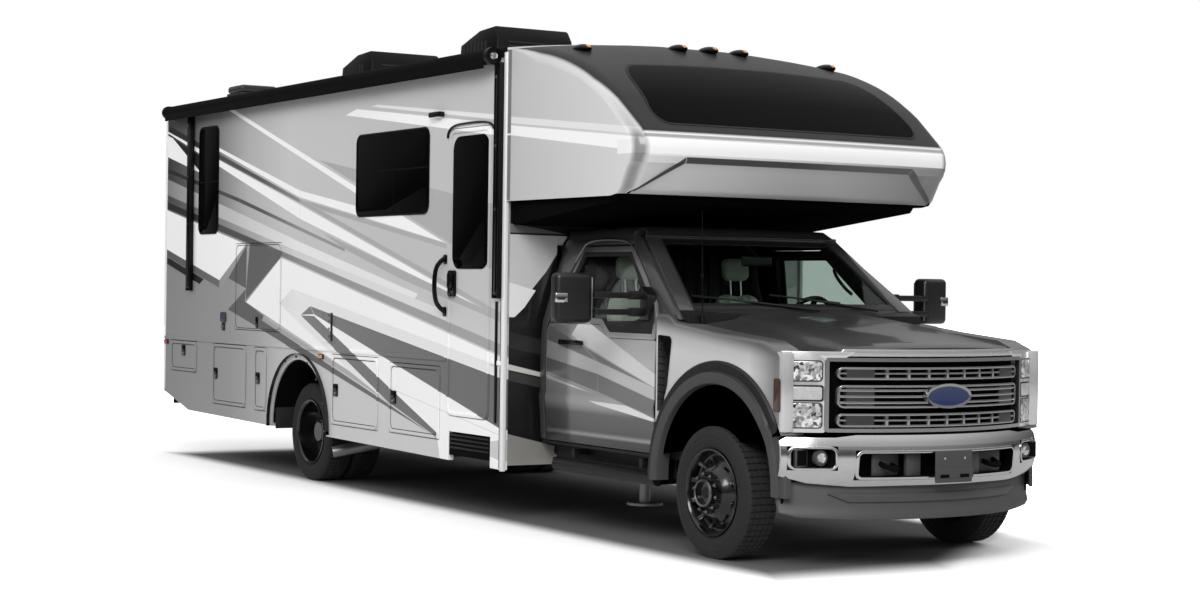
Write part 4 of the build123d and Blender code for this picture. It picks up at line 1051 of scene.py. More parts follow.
# Five amber clearance lamps in teardrop housings across the top.
bm = bmesh.new()
for x in (-1.035, -0.259, 0.0, 0.259, 1.035):
    x, y, z = cap_form(x, 1.60, 3.222)
    ball(bm, (x, y + 0.03, z + 0.003), (0.052, 0.110, 0.034), 20, 10)
    ball(bm, (x, y - 0.048, z + 0.010), (0.022, 0.030, 0.018), 16, 8, finish=1)
piece("cap_clearance_lamps", bm, "coach", [gloss_black, amber_lens])


# ---------------------------------------------------------------- front wall beside the cab
# The coach's front wall stands out past the cab on both sides. Its film bands come down from the
# cap: a light panel at the top, black below it, and a beige skirt return. On the black, two grey bands
# and a thin pale line are painted reflections of the side's stripes.
def front_wall_paint():
    made, tree, shader = lacquer("front_wall_paint")
    across, back, z = split(tree, here(tree))
    place = add(tree, "CombineXYZ", {0: math(tree, "ABSOLUTE", across), 1: z, 2: 1.0}).outputs[0]
    colour = filmed(tree, grey(18), place, [
        (112, [(1.30, 2.10), (1.11, 2.07), (0.87, 2.035), (0.72, 2.015), (1.30, 2.018)]),
        (206, [(1.30, 2.01), (0.72, 2.005), (0.95, 1.75), (1.12, 1.50), (1.20, 1.43), (1.30, 1.43)]),
        (240, [(1.30, 1.69), (1.03, 1.62), (1.12, 1.50), (1.20, 1.43), (1.30, 1.43)]),
        # Painted reflections of the side's stripes on the gloss black: two grey bands and a thin pale line.
        (40, [(1.30, 1.345), (0.93, 1.265), (0.93, 1.155), (1.30, 1.23)]),
        (205, [(1.30, 1.12), (0.80, 1.005), (0.80, 0.975), (1.30, 1.075)], (1, 0.98, 0.93)),
        (56, [(1.30, 1.07), (0.80, 0.97), (0.80, 0.90), (1.30, 1.0)]),
        (140, [(1.30, 0.635), (0.70, 0.49), (0.70, 0.2), (1.30, 0.2)], (1, 0.96, 0.90)),
    ])
    skin(tree, shader, colour)
    return made


repaint("front_wall", front_wall_paint())
white_moulding = plain("white_moulding", 226, 0.35, spread=0.03, Coat_Weight=0.3)
bm = bmesh.new()
for out in (-1, 1):
    skirt = 0.36
    block(bm, out * 1.262, out * 1.294, 2.192, 2.235, skirt, 3.27, 0.007, 3)
    block(bm, out * (SIDE_X - 0.001), out * (SIDE_X + 0.006), 2.236, 2.246, skirt + 0.02, 3.25, finish=1)
    block(bm, out * 1.243, out * 1.291, COACH_REAR_Y - 0.035, COACH_REAR_Y + 0.008, 0.62, 3.27, 0.007, 3)
piece("corner_mouldings", bm, "coach", [white_moulding, black_rubber])


# ---------------------------------------------------------------- cab shell
# Steel truck cab. Smooth outer panels in metallic grey lie over the cab's structure: roof with
# rounded rails, raked pillars, and doors with a crease, black window seals and tinted glass.
CAB_WIDTH = [(0.50, 0.990), (0.62, 1.004), (0.80, 1.015), (0.885, 1.024), (0.915, 1.015), (1.15, 1.014),
             (1.33, 1.007), (1.405, 0.998), (1.60, 0.938), (1.80, 0.872), (1.965, 0.812), (2.04, 0.738)]


def half_at(z):
    """Half width of the cab at a height."""
    for (low, near), (high, far) in zip(CAB_WIDTH, CAB_WIDTH[1:]):
        if z <= high:
            return near + (far - near) * within(z, low, high)
    return CAB_WIDTH[-1][1]


def formed(bm, corners, form, low, high, cuts=(), round_by=0.0, frame_width=0.0, soft=0.0, finish=0,
           holes=()):
    """Sheet that follows a shape: an outline in (a, b), cut at ("a" or "b", value), then set in place
    by form(a, b, out) at two values of out. frame_width leaves only a frame of that width, and holes
    are (a0, a1, b0, b1)."""
    part = bmesh.new()
    face = outline(part, [(a, b, 0) for a, b in corners], round_by)
    if frame_width:
        framed(part, face, frame_width)
    sides = [(axis, value) for hole in holes for axis, value in zip("aabb", hole)]
    for axis, value in [*cuts, *sides]:
        cut(part, (value, value, 0), (axis == "a", axis == "b", 0))
    for a0, a1, b0, b1 in holes:
        open_faces = [f for f in part.faces if a0 < f.calc_center_median().x < a1
                      and b0 < f.calc_center_median().y < b1]
        bmesh.ops.delete(part, geom=open_faces, context="FACES")
    far = set(doubled(part, part.faces[:]))
    for vert in part.verts:
        vert.co = form(vert.co.x, vert.co.y, high if vert in far else low)
    bmesh.ops.recalc_face_normals(part, faces=part.faces)
    if soft:
        soften(part, sharp(part.edges), soft)
    set_finish(part.faces, finish)
    finished = bpy.data.meshes.new("part")
    part.to_mesh(finished)
    part.free()
    bm.from_mesh(finished)
    bpy.data.meshes.remove(finished)


def cab_side(out):
    return lambda y, z, lift: (out * (half_at(z) + lift), y, z)


def shield_form(x, z, lift):
    """The windshield's surface: raked, bowed forward in the middle."""
    y = 0.54 + 1.3636 * (z - 1.51) - 0.075 * (1 - (x / 0.86) ** 2)
    return (x, y - 0.59 * lift, z + 0.807 * lift)


def roof_form(x, y, lift):
    """The cab's roof: crowned, and rounded down at its front edge."""
    fall = 0.05 * (1 - within(y, 1.24, 1.42)) ** 2
    return (x, y, 2.052 + 0.022 * (1 - (x / 0.72) ** 2) - fall + lift)


SIDE_CUTS = [("b", z) for z, half in CAB_WIDTH]
SHIELD_CUTS = [("a", x / 100) for x in (-75, -60, -45, -30, -15, 0, 15, 30, 45, 60, 75)]

# Painted light and shade up the doors, with painted highlight lines: (height, grey).
DOOR_PAINTED_LIGHT = [(0.58, 60), (0.64, 70), (0.655, 150), (0.68, 84), (0.80, 98), (0.865, 168), (0.90, 168),
              (0.93, 158), (1.15, 182), (1.30, 168), (1.36, 140), (1.42, 110), (1.70, 112), (1.95, 88),
              (2.05, 62)]
# Film bands carry on from the coach over the cab's doors, and the last band, pale and low on the
# door, is a painted highlight along the crease: grey, then corners as (y, z).
DOOR_BANDS = [
    (213, [(1.68, 1.40), (1.53, 1.41), (0.70, 1.10), (0.70, 1.01), (1.59, 1.26), (1.75, 1.32)]),
    (125, [(2.06, 1.39), (1.62, 1.26), (1.39, 1.15), (2.07, 1.28)]),
    (125, [(1.62, 1.26), (1.40, 1.20), (0.70, 1.01), (1.39, 1.15)]),
    (192, [(2.07, 1.28), (1.39, 1.15), (1.39, 1.07), (2.07, 1.16)]),
    (192, [(1.39, 1.15), (0.70, 1.01), (0.70, 0.93), (1.39, 1.07)]),
    (122, [(2.07, 1.16), (1.39, 1.07), (1.39, 0.95), (2.07, 1.06)]),
    (122, [(1.39, 1.07), (0.70, 0.93), (0.70, 0.82), (1.39, 0.95)]),
    (228, [(2.06, 1.04), (1.41, 0.93), (2.06, 1.01)]),
    (228, [(1.51, 0.89), (1.02, 0.88), (0.70, 0.815), (0.70, 0.79), (1.39, 0.865)]),
]


def cab_side_lit_paint():
    made, tree, shader = lacquer("cab_side_lit_paint", Metallic=0.25, Roughness=0.38)
    across, back, z = split(tree, here(tree))
    y = math(tree, "SUBTRACT", back, FRONT_AXLE_Y)
    # The doors' and fenders' greys are painted light and shade: the metallic grey lit bright on the side,
    # with highlight lines, and darker where the fenders' top turns away.
    doors = fade(tree, span(tree, z, 0.5, 2.1), DOOR_PAINTED_LIGHT, 0.5, 2.1)
    top_line = math(tree, "SUBTRACT", z, math(tree, "MULTIPLY", y, 0.12))
    fenders = fade(tree, span(tree, top_line, 0.5, 2.1),
                   [(0.60, 180), (1.20, 214), (1.29, 196), (1.33, 160), (1.37, 100), (1.42, 80)], 0.5, 2.1)
    # The fenders' front, by the headlights, is painted darker: painted shade.
    fenders = mixed(tree, span(tree, y, -0.32, -0.58, 0.0, 0.8), fenders, grey(88))
    colour = mixed(tree, math(tree, "LESS_THAN", y, 0.699), doors, fenders)
    place = add(tree, "CombineXYZ", {0: y, 1: z, 2: 1.0}).outputs[0]
    colour = filmed(tree, colour, place, DOOR_BANDS)
    # The doors' rear part is painted darker: a painted dark reflection.
    shaded = mixed(tree, 0.45, colour, grey(40))
    colour = mixed(tree, span(tree, y, 1.72, 1.80), colour, shaded)
    skin(tree, shader, colour, mottle=0.05)
    return made


def cab_top_shaded_paint():
    """The metallic grey on the hood, roof and pillars, painted darker than on the sides: painted shade and
    dark reflection.
    """
    made, tree, shader = lacquer("cab_top_shaded_paint", Metallic=0.35, Roughness=0.3)
    flakes = span(tree, noise(tree, here(tree), 900, 1), 0.3, 0.7)
    colour = mixed(tree, flakes, grey(62), grey(74))
    skin(tree, shader, colour, mottle=0.05)
    return made


# One metallic grey in two copies: lighter on the sides as painted light, darker on the hood, roof and pillars
# as painted shade.
side_metallic_lit, top_metallic_shaded = cab_side_lit_paint(), cab_top_shaded_paint()
clear_glass = plain("door_glass", 205, 0.02, (0.90, 1.0, 0.95), spread=0.05, rough_spread=0.01,
                    Transmission_Weight=1.0, IOR=1.12)
shield_glass = plain("shield_glass", 205, 0.02, (0.86, 1.0, 0.93), spread=0.05, rough_spread=0.01,
                     Transmission_Weight=1.0, IOR=1.12)
cab_black = plain("cab_black", 10, 0.55, grain=0.2, grain_scale=300)
for node in ("cab_body", "cab_door_left", "cab_door_right"):
    repaint(node, cab_black)

DOOR_SKIN = [(0.709, 0.587), (2.072, 0.587), (2.082, 1.345), (2.064, 1.398), (1.40, 1.398), (1.28, 1.312),
             (0.709, 1.312)]
DOOR_FRAME = [(0.722, 1.316), (1.28, 1.316), (1.40, 1.402), (2.062, 1.402), (1.890, 1.925), (1.252, 1.925),
              (0.762, 1.545), (0.712, 1.44)]
DOOR_SEAL = [(0.80, 1.325), (1.27, 1.325), (1.39, 1.412), (2.00, 1.412), (1.858, 1.888), (1.268, 1.888),
             (0.822, 1.548), (0.79, 1.44)]
MIRROR_PATCH = [(0.722, 1.32), (1.28, 1.32), (1.385, 1.40), (1.10, 1.40), (0.90, 1.46), (0.80, 1.56),
                (0.735, 1.47)]
for out, side in SIDES:
    form, body = cab_side(out), f"cab_door_{side}_body"
    bm = bmesh.new()
    formed(bm, DOOR_SKIN, form, -0.010, 0.004, SIDE_CUTS + [("a", 1.75)], round_by=0.016, soft=0.004)
    formed(bm, DOOR_FRAME, form, -0.010, 0.004, SIDE_CUTS, round_by=0.012, frame_width=0.036, soft=0.004)
    formed(bm, DOOR_SEAL, form, -0.014, 0.0, SIDE_CUTS, round_by=0.03, frame_width=0.030, soft=0.003,
           finish=1)
    formed(bm, MIRROR_PATCH, form, -0.012, 0.002, SIDE_CUTS, round_by=0.01, soft=0.003, finish=1)
    piece(f"cab_door_{side}_skin", bm, body, [side_metallic_lit, black_rubber])
    bm = bmesh.new()
    formed(bm, DOOR_SEAL, form, -0.024, -0.018, SIDE_CUTS, round_by=0.03)
    piece(f"cab_door_{side}_pane", bm, body, clear_glass)
    bm = bmesh.new()
    formed(bm, rectangle(1.62, 1.80, 1.240, 1.300), form, 0.0, 0.007, SIDE_CUTS, round_by=0.02, soft=0.003)
    grip_x = out * (half_at(1.27) + 0.036)
    slab(bm, rectangle(1.575, 1.875, 1.254, 1.288), "x", grip_x - out * 0.012, grip_x, 0.014, 0.004, finish=1)
    for y in (1.61, 1.84):
        block(bm, out * half_at(1.27), grip_x, y - 0.018, y + 0.018, 1.258, 1.284, 0.004, finish=1)
    piece(f"cab_door_{side}_handle", bm, body, [side_metallic_lit, gloss_black])

# Pillars, roof and the reveal round the windshield stay with the cab.
bm = bmesh.new()
PILLAR = [(0.470, 1.452), (0.540, 1.512), (0.700, 1.632), (1.215, 1.992), (1.262, 1.992), (1.262, 1.936),
          (0.772, 1.556), (0.700, 1.452)]
REAR_QUARTER = [(2.094, 0.590), (2.158, 0.590), (2.158, 2.02), (1.262, 2.02), (1.262, 1.940), (1.900, 1.940),
                (1.975, 1.730), (2.094, 1.36)]
for out in (-1, 1):
    form = cab_side(out)
    formed(bm, PILLAR, form, -0.045, 0.005, SIDE_CUTS, soft=0.006)
    formed(bm, REAR_QUARTER, form, -0.030, 0.004, SIDE_CUTS, soft=0.005)
    formed(bm, [(out * 0.690, 1.985), (out * 0.792, 1.985), (out * 0.945, 1.50), (out * 0.842, 1.50)],
           shield_form, -0.03, 0.014, [("b", 1.65), ("b", 1.8)], soft=0.008)
    slab(bm, [(out * 0.60, 2.062), (out * 0.74, 2.058), (out * 0.79, 2.035), (out * 0.812, 1.985),
              (out * 0.76, 1.985), (out * 0.60, 2.03)], "y", 1.30, 2.158, soft=0.012)
formed(bm, [(-0.80, 1.975), (0.80, 1.975), (0.74, 2.045), (-0.74, 2.045)], shield_form, -0.02, 0.016,
       SHIELD_CUTS, soft=0.008)
formed(bm, [(-0.72, 1.26), (0.72, 1.26), (0.70, 2.155), (-0.70, 2.155)], roof_form, -0.02, 0.006,
       SHIELD_CUTS[1:-1] + [("b", 1.33), ("b", 1.42), ("b", 1.8)], soft=0.004)
piece("cab_shell", bm, "coach", top_metallic_shaded, angle=40)

bm = bmesh.new()
SHIELD = [(-0.835, 1.530), (0.835, 1.530), (0.700, 1.968), (-0.700, 1.968)]
formed(bm, SHIELD, shield_form, -0.008, -0.002, SHIELD_CUTS, round_by=0.05)
piece("windshield_pane", bm, "coach", shield_glass, ["windshield"])
bm = bmesh.new()
formed(bm, [(x * 1.022, z + (z - 1.75) * 0.05) for x, z in SHIELD], shield_form, -0.006, 0.004, SHIELD_CUTS,
       round_by=0.05, frame_width=0.035, soft=0.002)
formed(bm, [(-0.90, 1.455), (0.90, 1.455), (0.86, 1.532), (-0.86, 1.532)], shield_form, -0.03, 0.002,
       SHIELD_CUTS)
formed(bm, [(-0.80, 1.984), (0.80, 1.984), (0.795, 1.992), (-0.795, 1.992)], shield_form, 0.012, 0.020,
       SHIELD_CUTS, finish=1)
for out in (-1, 1):
    tube(bm, [(out * 0.985, 0.735, 1.46), (out * 0.955, 0.79, 1.575), (out * 0.822, 1.27, 1.945),
              (out * 0.815, 1.45, 1.972), (out * 0.815, 1.80, 1.972), (out * 0.835, 1.93, 1.925),
              (out * 0.975, 2.105, 1.42)], 0.006, 3, finish=1)
# Wipers: foot and tip of each arm, with the blade across the tip.
for foot_x, foot_z, x, z in ((0.10, 1.50, -0.52, 1.565), (0.62, 1.50, 0.06, 1.575)):
    rod(bm, shield_form(foot_x, foot_z, 0.020), shield_form(x, z, 0.018), 0.009, 8, 0.007)
    rod(bm, shield_form(x + 0.28, z - 0.02, 0.012), shield_form(x - 0.26, z + 0.03, 0.010), 0.006, 6)
piece("windshield_reveal_and_wipers", bm, "coach", [black_plastic, brushed_metal])

bm = bmesh.new()
rod(bm, (-0.86, 0.40, 1.44), (-0.86, 0.40, 1.49), 0.018, 12, 0.012)
rod(bm, (-0.86, 0.40, 1.48), (-0.86, 0.42, 2.14), 0.0035, 8, 0.002)
ball(bm, (-0.86, 0.408, 1.73), (0.011, 0.011, 0.011), 8, 6)
piece("whip_aerial", bm, "coach", satin_black)


# ---------------------------------------------------------------- hood and front fenders
# A pressed hood with a raised middle and a lip painted pale as a highlight, and squared fenders with
# wide moulded flares over the wheels, black vents behind them and black liners inside.
NOSE_BOW = 0.35


def nose(x):
    """How far the nose's plan falls back at a distance from the middle."""
    return NOSE_BOW * x * x


HOOD_ROWS = [(-0.935, 1.272, 1.305), (-0.90, 1.300, 1.328), (-0.60, 1.302, 1.385), (0.0, 1.392, 1.452),
             (0.43, 1.436, 1.492)]


def hood_form(u, y, lift):
    """Hood surface: u runs -1 to 1 across, y back along the middle."""
    for (ya, side_a, mid_a), (yb, side_b, mid_b) in zip(HOOD_ROWS, HOOD_ROWS[1:]):
        if y <= yb:
            break
    t = within(y, ya, yb)
    side, middle = side_a + (side_b - side_a) * t, mid_a + (mid_b - mid_a) * t
    half = 0.70 + 0.129 * within(y, -0.93, -0.55) ** 0.6
    x = u * half
    dome = 0.020 * within(0.60 - abs(x) + 0.08 * within(-y, -0.4, 0.9), 0.0, 0.06)
    bow = nose(x) * (1 - within(y, -0.93, 0.30))
    return (x, y + bow, side + (middle - side) * (1 - abs(u) ** 2.4) + dome - 0.012 + lift)


# The hood's lip is the hood's own metallic grey, painted pale as a painted highlight.
hood_lip_highlight = plain("hood_lip_highlight", 190, 0.25, spread=0.05, scale=10, Metallic=0.6)
bm = bmesh.new()
HOOD_CUTS = [("a", u / 20) for u in range(-19, 20)]
HOOD_CUTS += [("b", y / 100) for y in (-92, -90, -82, -70, -60, -45, -30, -15, 0, 15, 30)]
formed(bm, [(-1, -0.93), (1, -0.93), (1, 0.425), (-1, 0.425)], hood_form, -0.022, 0.0, HOOD_CUTS)
piece("hood_skin", bm, "hood_body", top_metallic_shaded, ["hood"], angle=28)


def nose_form(front):
    return lambda x, z, lift: (x, front + nose(x) - lift, z)


NOSE_CUTS = [("a", x / 100) for x in range(-95, 96, 10)]
bm = bmesh.new()
formed(bm, [(-0.70, 1.262), (0.70, 1.262), (0.67, 1.305), (-0.67, 1.305)], nose_form(-0.935), 0.0, 0.012,
       NOSE_CUTS, soft=0.004)
piece("hood_lip", bm, "hood_body", hood_lip_highlight)

FENDER = [(-0.620, 0.800), (-0.620, 1.255), (-0.58, 1.298), (-0.45, 1.345), (0.05, 1.386), (0.48, 1.434),
          (0.56, 1.486), (0.69, 1.490), (0.69, 0.58)]
FENDER_HALF, WELL_CENTRE = 1.014, Vector((0, 0, 0.45))
VENT = [(0.664, 0.865), (0.664, 1.352), (0.532, 1.346), (0.512, 1.322), (0.560, 1.030), (0.622, 0.870)]
FLARE_SECTION = [(0.768, 0.985), (0.760, 1.020), (0.748, 1.030), (0.703, 1.036), (0.698, 1.046),
                 (0.690, 1.052), (0.640, 1.056), (0.622, 1.050), (0.614, 1.030), (0.612, 0.960)]
CUT_RADIUS, LINER_RADIUS, FLARE_INNER = 0.735, 0.68, 0.672
wheel_cut = [(CUT_RADIUS * cos(radians(a)), WELL_CENTRE.z + CUT_RADIUS * sin(radians(a)))
             for a in range(14, 153, 6)]


def fender_side(out):
    return lambda y, z, lift: (out * (FENDER_HALF + lift), y, z)


def swept(bm, section, past, steps):
    """Turns a line of (x, distance from the wheel's centre) over a front wheel, past level at both ends."""
    verts = [bm.verts.new((x, reach, WELL_CENTRE.z)) for x, reach in section]
    strip = [bm.edges.new(pair) for pair in zip(verts, verts[1:])]
    bmesh.ops.spin(bm, geom=verts + strip, cent=WELL_CENTRE, axis=(1, 0, 0), angle=radians(180 + 2 * past),
                   steps=steps, use_merge=False)
    bmesh.ops.rotate(bm, cent=WELL_CENTRE, matrix=Matrix.Rotation(radians(-past), 4, "X"), verts=bm.verts)


for out, side in SIDES:
    bm = bmesh.new()
    slab(bm, FENDER + wheel_cut, "x", out * 0.845, out * FENDER_HALF)
    top = [e for e in sharp(bm.edges) if all(abs(v.co.x) > 1.0 and v.co.z > 1.29 for v in e.verts)]
    soften(bm, top, 0.055, 5)
    piece(f"fender_{side}", bm, "coach", side_metallic_lit, ["front_fenders"], angle=35)
    bm = bmesh.new()
    swept(bm, [(out * x, reach) for reach, x in FLARE_SECTION], 2, 48)
    for vert in bm.verts:
        ahead, below = within(-vert.co.y, 0.2, 0.7), within(0.86 - vert.co.z, 0.0, 0.12)
        vert.co.y *= 1 - 0.05 * ahead - 0.09 * below * ahead
        vert.co.x *= 1 - 0.045 * below * ahead
    bmesh.ops.recalc_face_normals(bm, faces=bm.faces)
    inner = [f for f in bm.faces if (f.calc_center_median() - WELL_CENTRE).yz.length < FLARE_INNER]
    set_finish(inner, 1)
    bmesh.ops.solidify(bm, geom=bm.faces[:], thickness=0.004)
    piece(f"front_flare_{side}", bm, "coach", [black_plastic, flare_grey], angle=30)
    bm = bmesh.new()
    formed(bm, VENT, fender_side(out), 0.0, 0.007, round_by=0.012, soft=0.002)
    for row in range(9):
        z = 1.30 - row * 0.045
        block(bm, out * 1.018, out * 1.026, 0.585, 0.655, z - 0.006, z + 0.006, 0.002)
    piece(f"fender_vent_{side}", bm, "coach", gloss_black)
    bm = bmesh.new()
    swept(bm, [(out * 0.45, LINER_RADIUS), (out * 0.97, LINER_RADIUS)], 5, 30)
    for vert in bm.verts:
        vert.co.y *= 1 - 0.12 * within(-vert.co.y, 0.2, 0.6)
    bmesh.ops.recalc_face_normals(bm, faces=bm.faces)
    bmesh.ops.reverse_faces(bm, faces=bm.faces)
    bmesh.ops.solidify(bm, geom=bm.faces[:], thickness=0.006)
    block(bm, out * 0.45, out * 0.46, -0.66, 0.66, 0.62, 1.12)
    piece(f"wheel_liner_{side}", bm, "coach", black_liner)


# ---------------------------------------------------------------- grille and headlights
# A bright bowed grille frame holds two slotted bars with three fine ones between and a bare oval
# plate in the middle. Each headlight has two reflector cells over and under a turn lamp in a bright C.
def reflector_with_painted_glints(name, low, high):
    """Faceted reflector behind clear plastic; the bright and dark cells of its colour are painted glints and
    reflections.
    """
    made, tree, shader = lacquer(name, Metallic=0.6, Roughness=0.15)
    cells = add(tree, "TexVoronoi", {"Vector": here(tree), "Scale": 55.0}).outputs["Color"]
    tone = split(tree, cells)["X"]
    wire(tree, mixed(tree, tone, grey(low), grey(high)), shader.inputs["Base Color"])
    return made


reflector = reflector_with_painted_glints("reflector", 26, 250)
bright_trim = plain("bright_trim", 214, 0.16, spread=0.04, scale=14, rough_spread=0.05, Metallic=0.55)
clear_lens = plain("clear_lens", 176, 0.15, spread=0.25, scale=60, Coat_Weight=0.4)
side_amber = plain("side_amber", 62, 0.2, (1, 0.50, 0.34), spread=0.15, scale=80, Coat_Weight=0.5)
grille_chrome = plain("grille_chrome", 168, 0.18, spread=0.06, scale=14, rough_spread=0.05, Metallic=0.9)
badge_blue = plain("badge_blue", 62, 0.2, (0.35, 0.62, 1.9), spread=0.06, Coat_Weight=0.5)
fine_mesh = plain("fine_mesh", 44, 0.4, spread=0.5, scale=260, grain=0.8, grain_scale=220)
front = nose_form(-0.945)


def nose_plates(bm, out, rows):
    """Layers on the nose: x0, x1, z0, z1, both depths, corner radius, frame width, softening, finish."""
    for x0, x1, z0, z1, low, high, round_by, frame_width, soft, finish in rows:
        corners = rectangle(*sorted((out * x0, out * x1)), z0, z1)
        formed(bm, corners, front, low, high, NOSE_CUTS, round_by, frame_width, soft, finish)


SURROUND = [(0.765, 0.812), (1.004, 0.812), (1.004, 1.255), (0.985, 1.290), (0.60, 1.290), (0.66, 1.250),
            (0.765, 1.250)]
# A headlight's cells, their rims, a thin upright strip, and the turn lamp's bed and lens.
HEADLIGHT = [
    (0.785, 0.940, 1.118, 1.232, 0.0, 0.009, 0.02, 0, 0.003, 1),
    (0.785, 0.940, 0.842, 0.984, 0.0, 0.009, 0.02, 0, 0.003, 1),
    (0.779, 0.946, 1.112, 1.238, 0.0, 0.007, 0.024, 0.007, 0, 2),
    (0.779, 0.946, 0.836, 0.990, 0.0, 0.007, 0.024, 0.007, 0, 2),
    (0.955, 0.963, 0.850, 1.225, 0.0, 0.006, 0, 0, 0, 2),
    (0.775, 0.950, 0.995, 1.092, 0.0, 0.008, 0.014, 0, 0.003, 2),
    (0.785, 0.940, 1.005, 1.082, 0.004, 0.012, 0.012, 0, 0.003, 3),
]
for out, side in SIDES:
    bm = bmesh.new()
    formed(bm, [(out * x, z) for x, z in SURROUND], front, -0.02, 0.004, NOSE_CUTS, round_by=0.008,
           soft=0.004)
    nose_plates(bm, out, HEADLIGHT)
    slab(bm, rectangle(-0.635, -0.575, 0.93, 1.13), "x", out * 1.006, out * 1.020, 0.016, 0.004, finish=4)
    slab(bm, [(-0.60, 0.812), (-0.66, 0.812), (-0.66, 1.285), (-0.56, 1.285)], "x", out * 0.93, out * 1.010,
         soft=0.01)
    piece(f"headlight_{side}", bm, "coach", [bright_trim, reflector, black_plastic, clear_lens, side_amber],
          ["headlights"])

# The grille's backing and frame, two slotted bars, the middle frame with its fine bars, and the
# meshes beside the badge.
SLOTS = ((1.124, 1.200), (0.845, 0.926))
GRILLE = [
    (-0.765, 0.765, 0.822, 1.256, -0.10, -0.075, 0, 0, 0, 1),
    (-0.770, 0.770, 0.815, 1.254, -0.03, 0.010, 0.02, 0.022, 0.005, 0),
    (-0.70, 0.70, 0.957, 1.094, -0.02, 0.006, 0.035, 0.014, 0.004, 0),
]
for z0, z1 in SLOTS:
    middle = (z0 + z1) / 2
    GRILLE.append((-0.70, 0.70, z0, z1, -0.02, 0.004, 0.03, 0.014, 0.004, 0))
    GRILLE.append((-0.70, 0.70, middle - 0.005, middle + 0.005, -0.02, 0.0, 0, 0, 0, 0))
    for x in (-0.414, -0.276, -0.138, 0.0, 0.138, 0.276, 0.414):
        GRILLE.append((x - 0.009, x + 0.009, z0, z1, -0.02, 0.003, 0, 0, 0.003, 0))
for z in (0.990, 1.026, 1.062):
    GRILLE.append((-0.69, 0.69, z - 0.007, z + 0.007, -0.02, 0.002, 0, 0, 0.002, 0))
MESHES = [(0.49, 0.65, z0, z1, -0.03, 0.0, 0.02, 0, 0.003, 2)
          for z0, z1 in ((1.128, 1.196), (0.849, 0.922), (0.965, 1.088))]
bm = bmesh.new()
nose_plates(bm, 1, GRILLE)
for out in (-1, 1):
    nose_plates(bm, out, MESHES)
near = bmesh.ops.create_circle(bm, cap_ends=True, segments=40, radius=1.0)["verts"]
far = doubled(bm, faces_of(near))
bmesh.ops.translate(bm, vec=(0, 0, 1), verts=far)
seat = Matrix.Translation((0, -0.93, 1.028)) @ Matrix.Rotation(radians(90), 4, "X")
bmesh.ops.transform(bm, verts=near + far, matrix=seat @ Matrix.Diagonal((0.175, 0.074, 0.034, 1)))
bmesh.ops.recalc_face_normals(bm, faces=faces_of(near + far))
top_face = min(faces_of(far), key=lambda f: f.normal.y)
bmesh.ops.inset_region(bm, faces=[top_face], thickness=0.016, depth=-0.004)
top_face.material_index = 3
soften(bm, list(top_face.edges), 0.002)
piece("grille_bars", bm, "coach", [grille_chrome, black_liner, fine_mesh, badge_blue], ["grille"],
      angle=30)


# ---------------------------------------------------------------- front bumper and valance
# A pressed chrome bumper, bowed like the nose, with a fog lamp recess each side and a wide slot in
# the middle behind a blank plate bracket; a black valance hangs below.
bracket_grey = plain("bracket_grey", 62, 0.5, grain=0.2, grain_scale=300)
valance_grey = plain("valance_grey", 66, 0.45, grain=0.25, grain_scale=420)


def bumper_form(x, z, lift):
    """The bumper's face rolls back towards its top and bottom edges."""
    roll = 0.035 * (abs(z - 0.66) / 0.14) ** 2.5
    return (x, -0.995 + nose(x) + min(roll, 0.06) - lift, z)


def mouth(bm, box, rim_width, depth):
    """Bright rim, black walls and back of a recess in the bumper."""
    formed(bm, rectangle(*box), bumper_form, -0.02, 0.006, NOSE_CUTS, round_by=0.045, frame_width=rim_width,
           soft=0.004)
    formed(bm, rectangle(*grown(box, -0.008)), bumper_form, -depth, 0.001, NOSE_CUTS, round_by=0.042,
           frame_width=rim_width - 0.004, finish=1)
    formed(bm, rectangle(*box), bumper_form, -depth - 0.01, -depth, NOSE_CUTS, finish=1)


bm = bmesh.new()
BUMPER = [(-1.005, 0.555), (-0.86, 0.515), (-0.62, 0.495), (-0.30, 0.500), (0.30, 0.500), (0.62, 0.495),
          (0.86, 0.515), (1.005, 0.555), (1.005, 0.765), (0.97, 0.785), (0.72, 0.785), (0.60, 0.800),
          (-0.60, 0.800), (-0.72, 0.785), (-0.97, 0.785), (-1.005, 0.765)]
BUMPER_CUTS = NOSE_CUTS + [("b", z / 100) for z in (52, 55, 60, 66, 72, 76, 78)]
FOG_MOUTHS, SLOT = [(-0.975, -0.715, 0.592, 0.735), (0.715, 0.975, 0.592, 0.735)], (-0.62, 0.62, 0.535, 0.712)
formed(bm, BUMPER, bumper_form, -0.012, 0.0, BUMPER_CUTS, soft=0.004, holes=[*FOG_MOUTHS, SLOT])
for box in FOG_MOUTHS:
    mouth(bm, box, 0.016, 0.05)
mouth(bm, SLOT, 0.018, 0.09)
for out in (-1, 1):
    lamp_y = nose(0.79) - 0.95
    for reach, radius, tip, finish in ((0.030, 0.046, None, 2), (0.036, 0.036, 0.030, 3)):
        rod(bm, (out * 0.80, lamp_y, 0.665), (out * 0.80, lamp_y - reach, 0.665), radius, 24, tip, finish)
    block(bm, out * 0.86, out * 0.95, lamp_y + 0.02, lamp_y + 0.05, 0.61, 0.72, 0.01, finish=2)
    tube(bm, [(out * 0.44, -0.86, 0.63), (out * 0.44, -0.945, 0.605), (out * 0.36, -0.955, 0.60),
              (out * 0.36, -0.87, 0.62)], 0.016, 4, finish=1)
    block(bm, out * 0.30, out * 0.50, -0.845, -0.865, 0.555, 0.695, 0.01, finish=2)
for x in (-0.24, 0.22):
    block(bm, x - 0.055, x + 0.055, -0.90, -0.93, 0.55, 0.70, 0.006, finish=2)
block(bm, -0.14, 0.145, -1.0, -1.016, 0.515, 0.705, 0.010, finish=2)
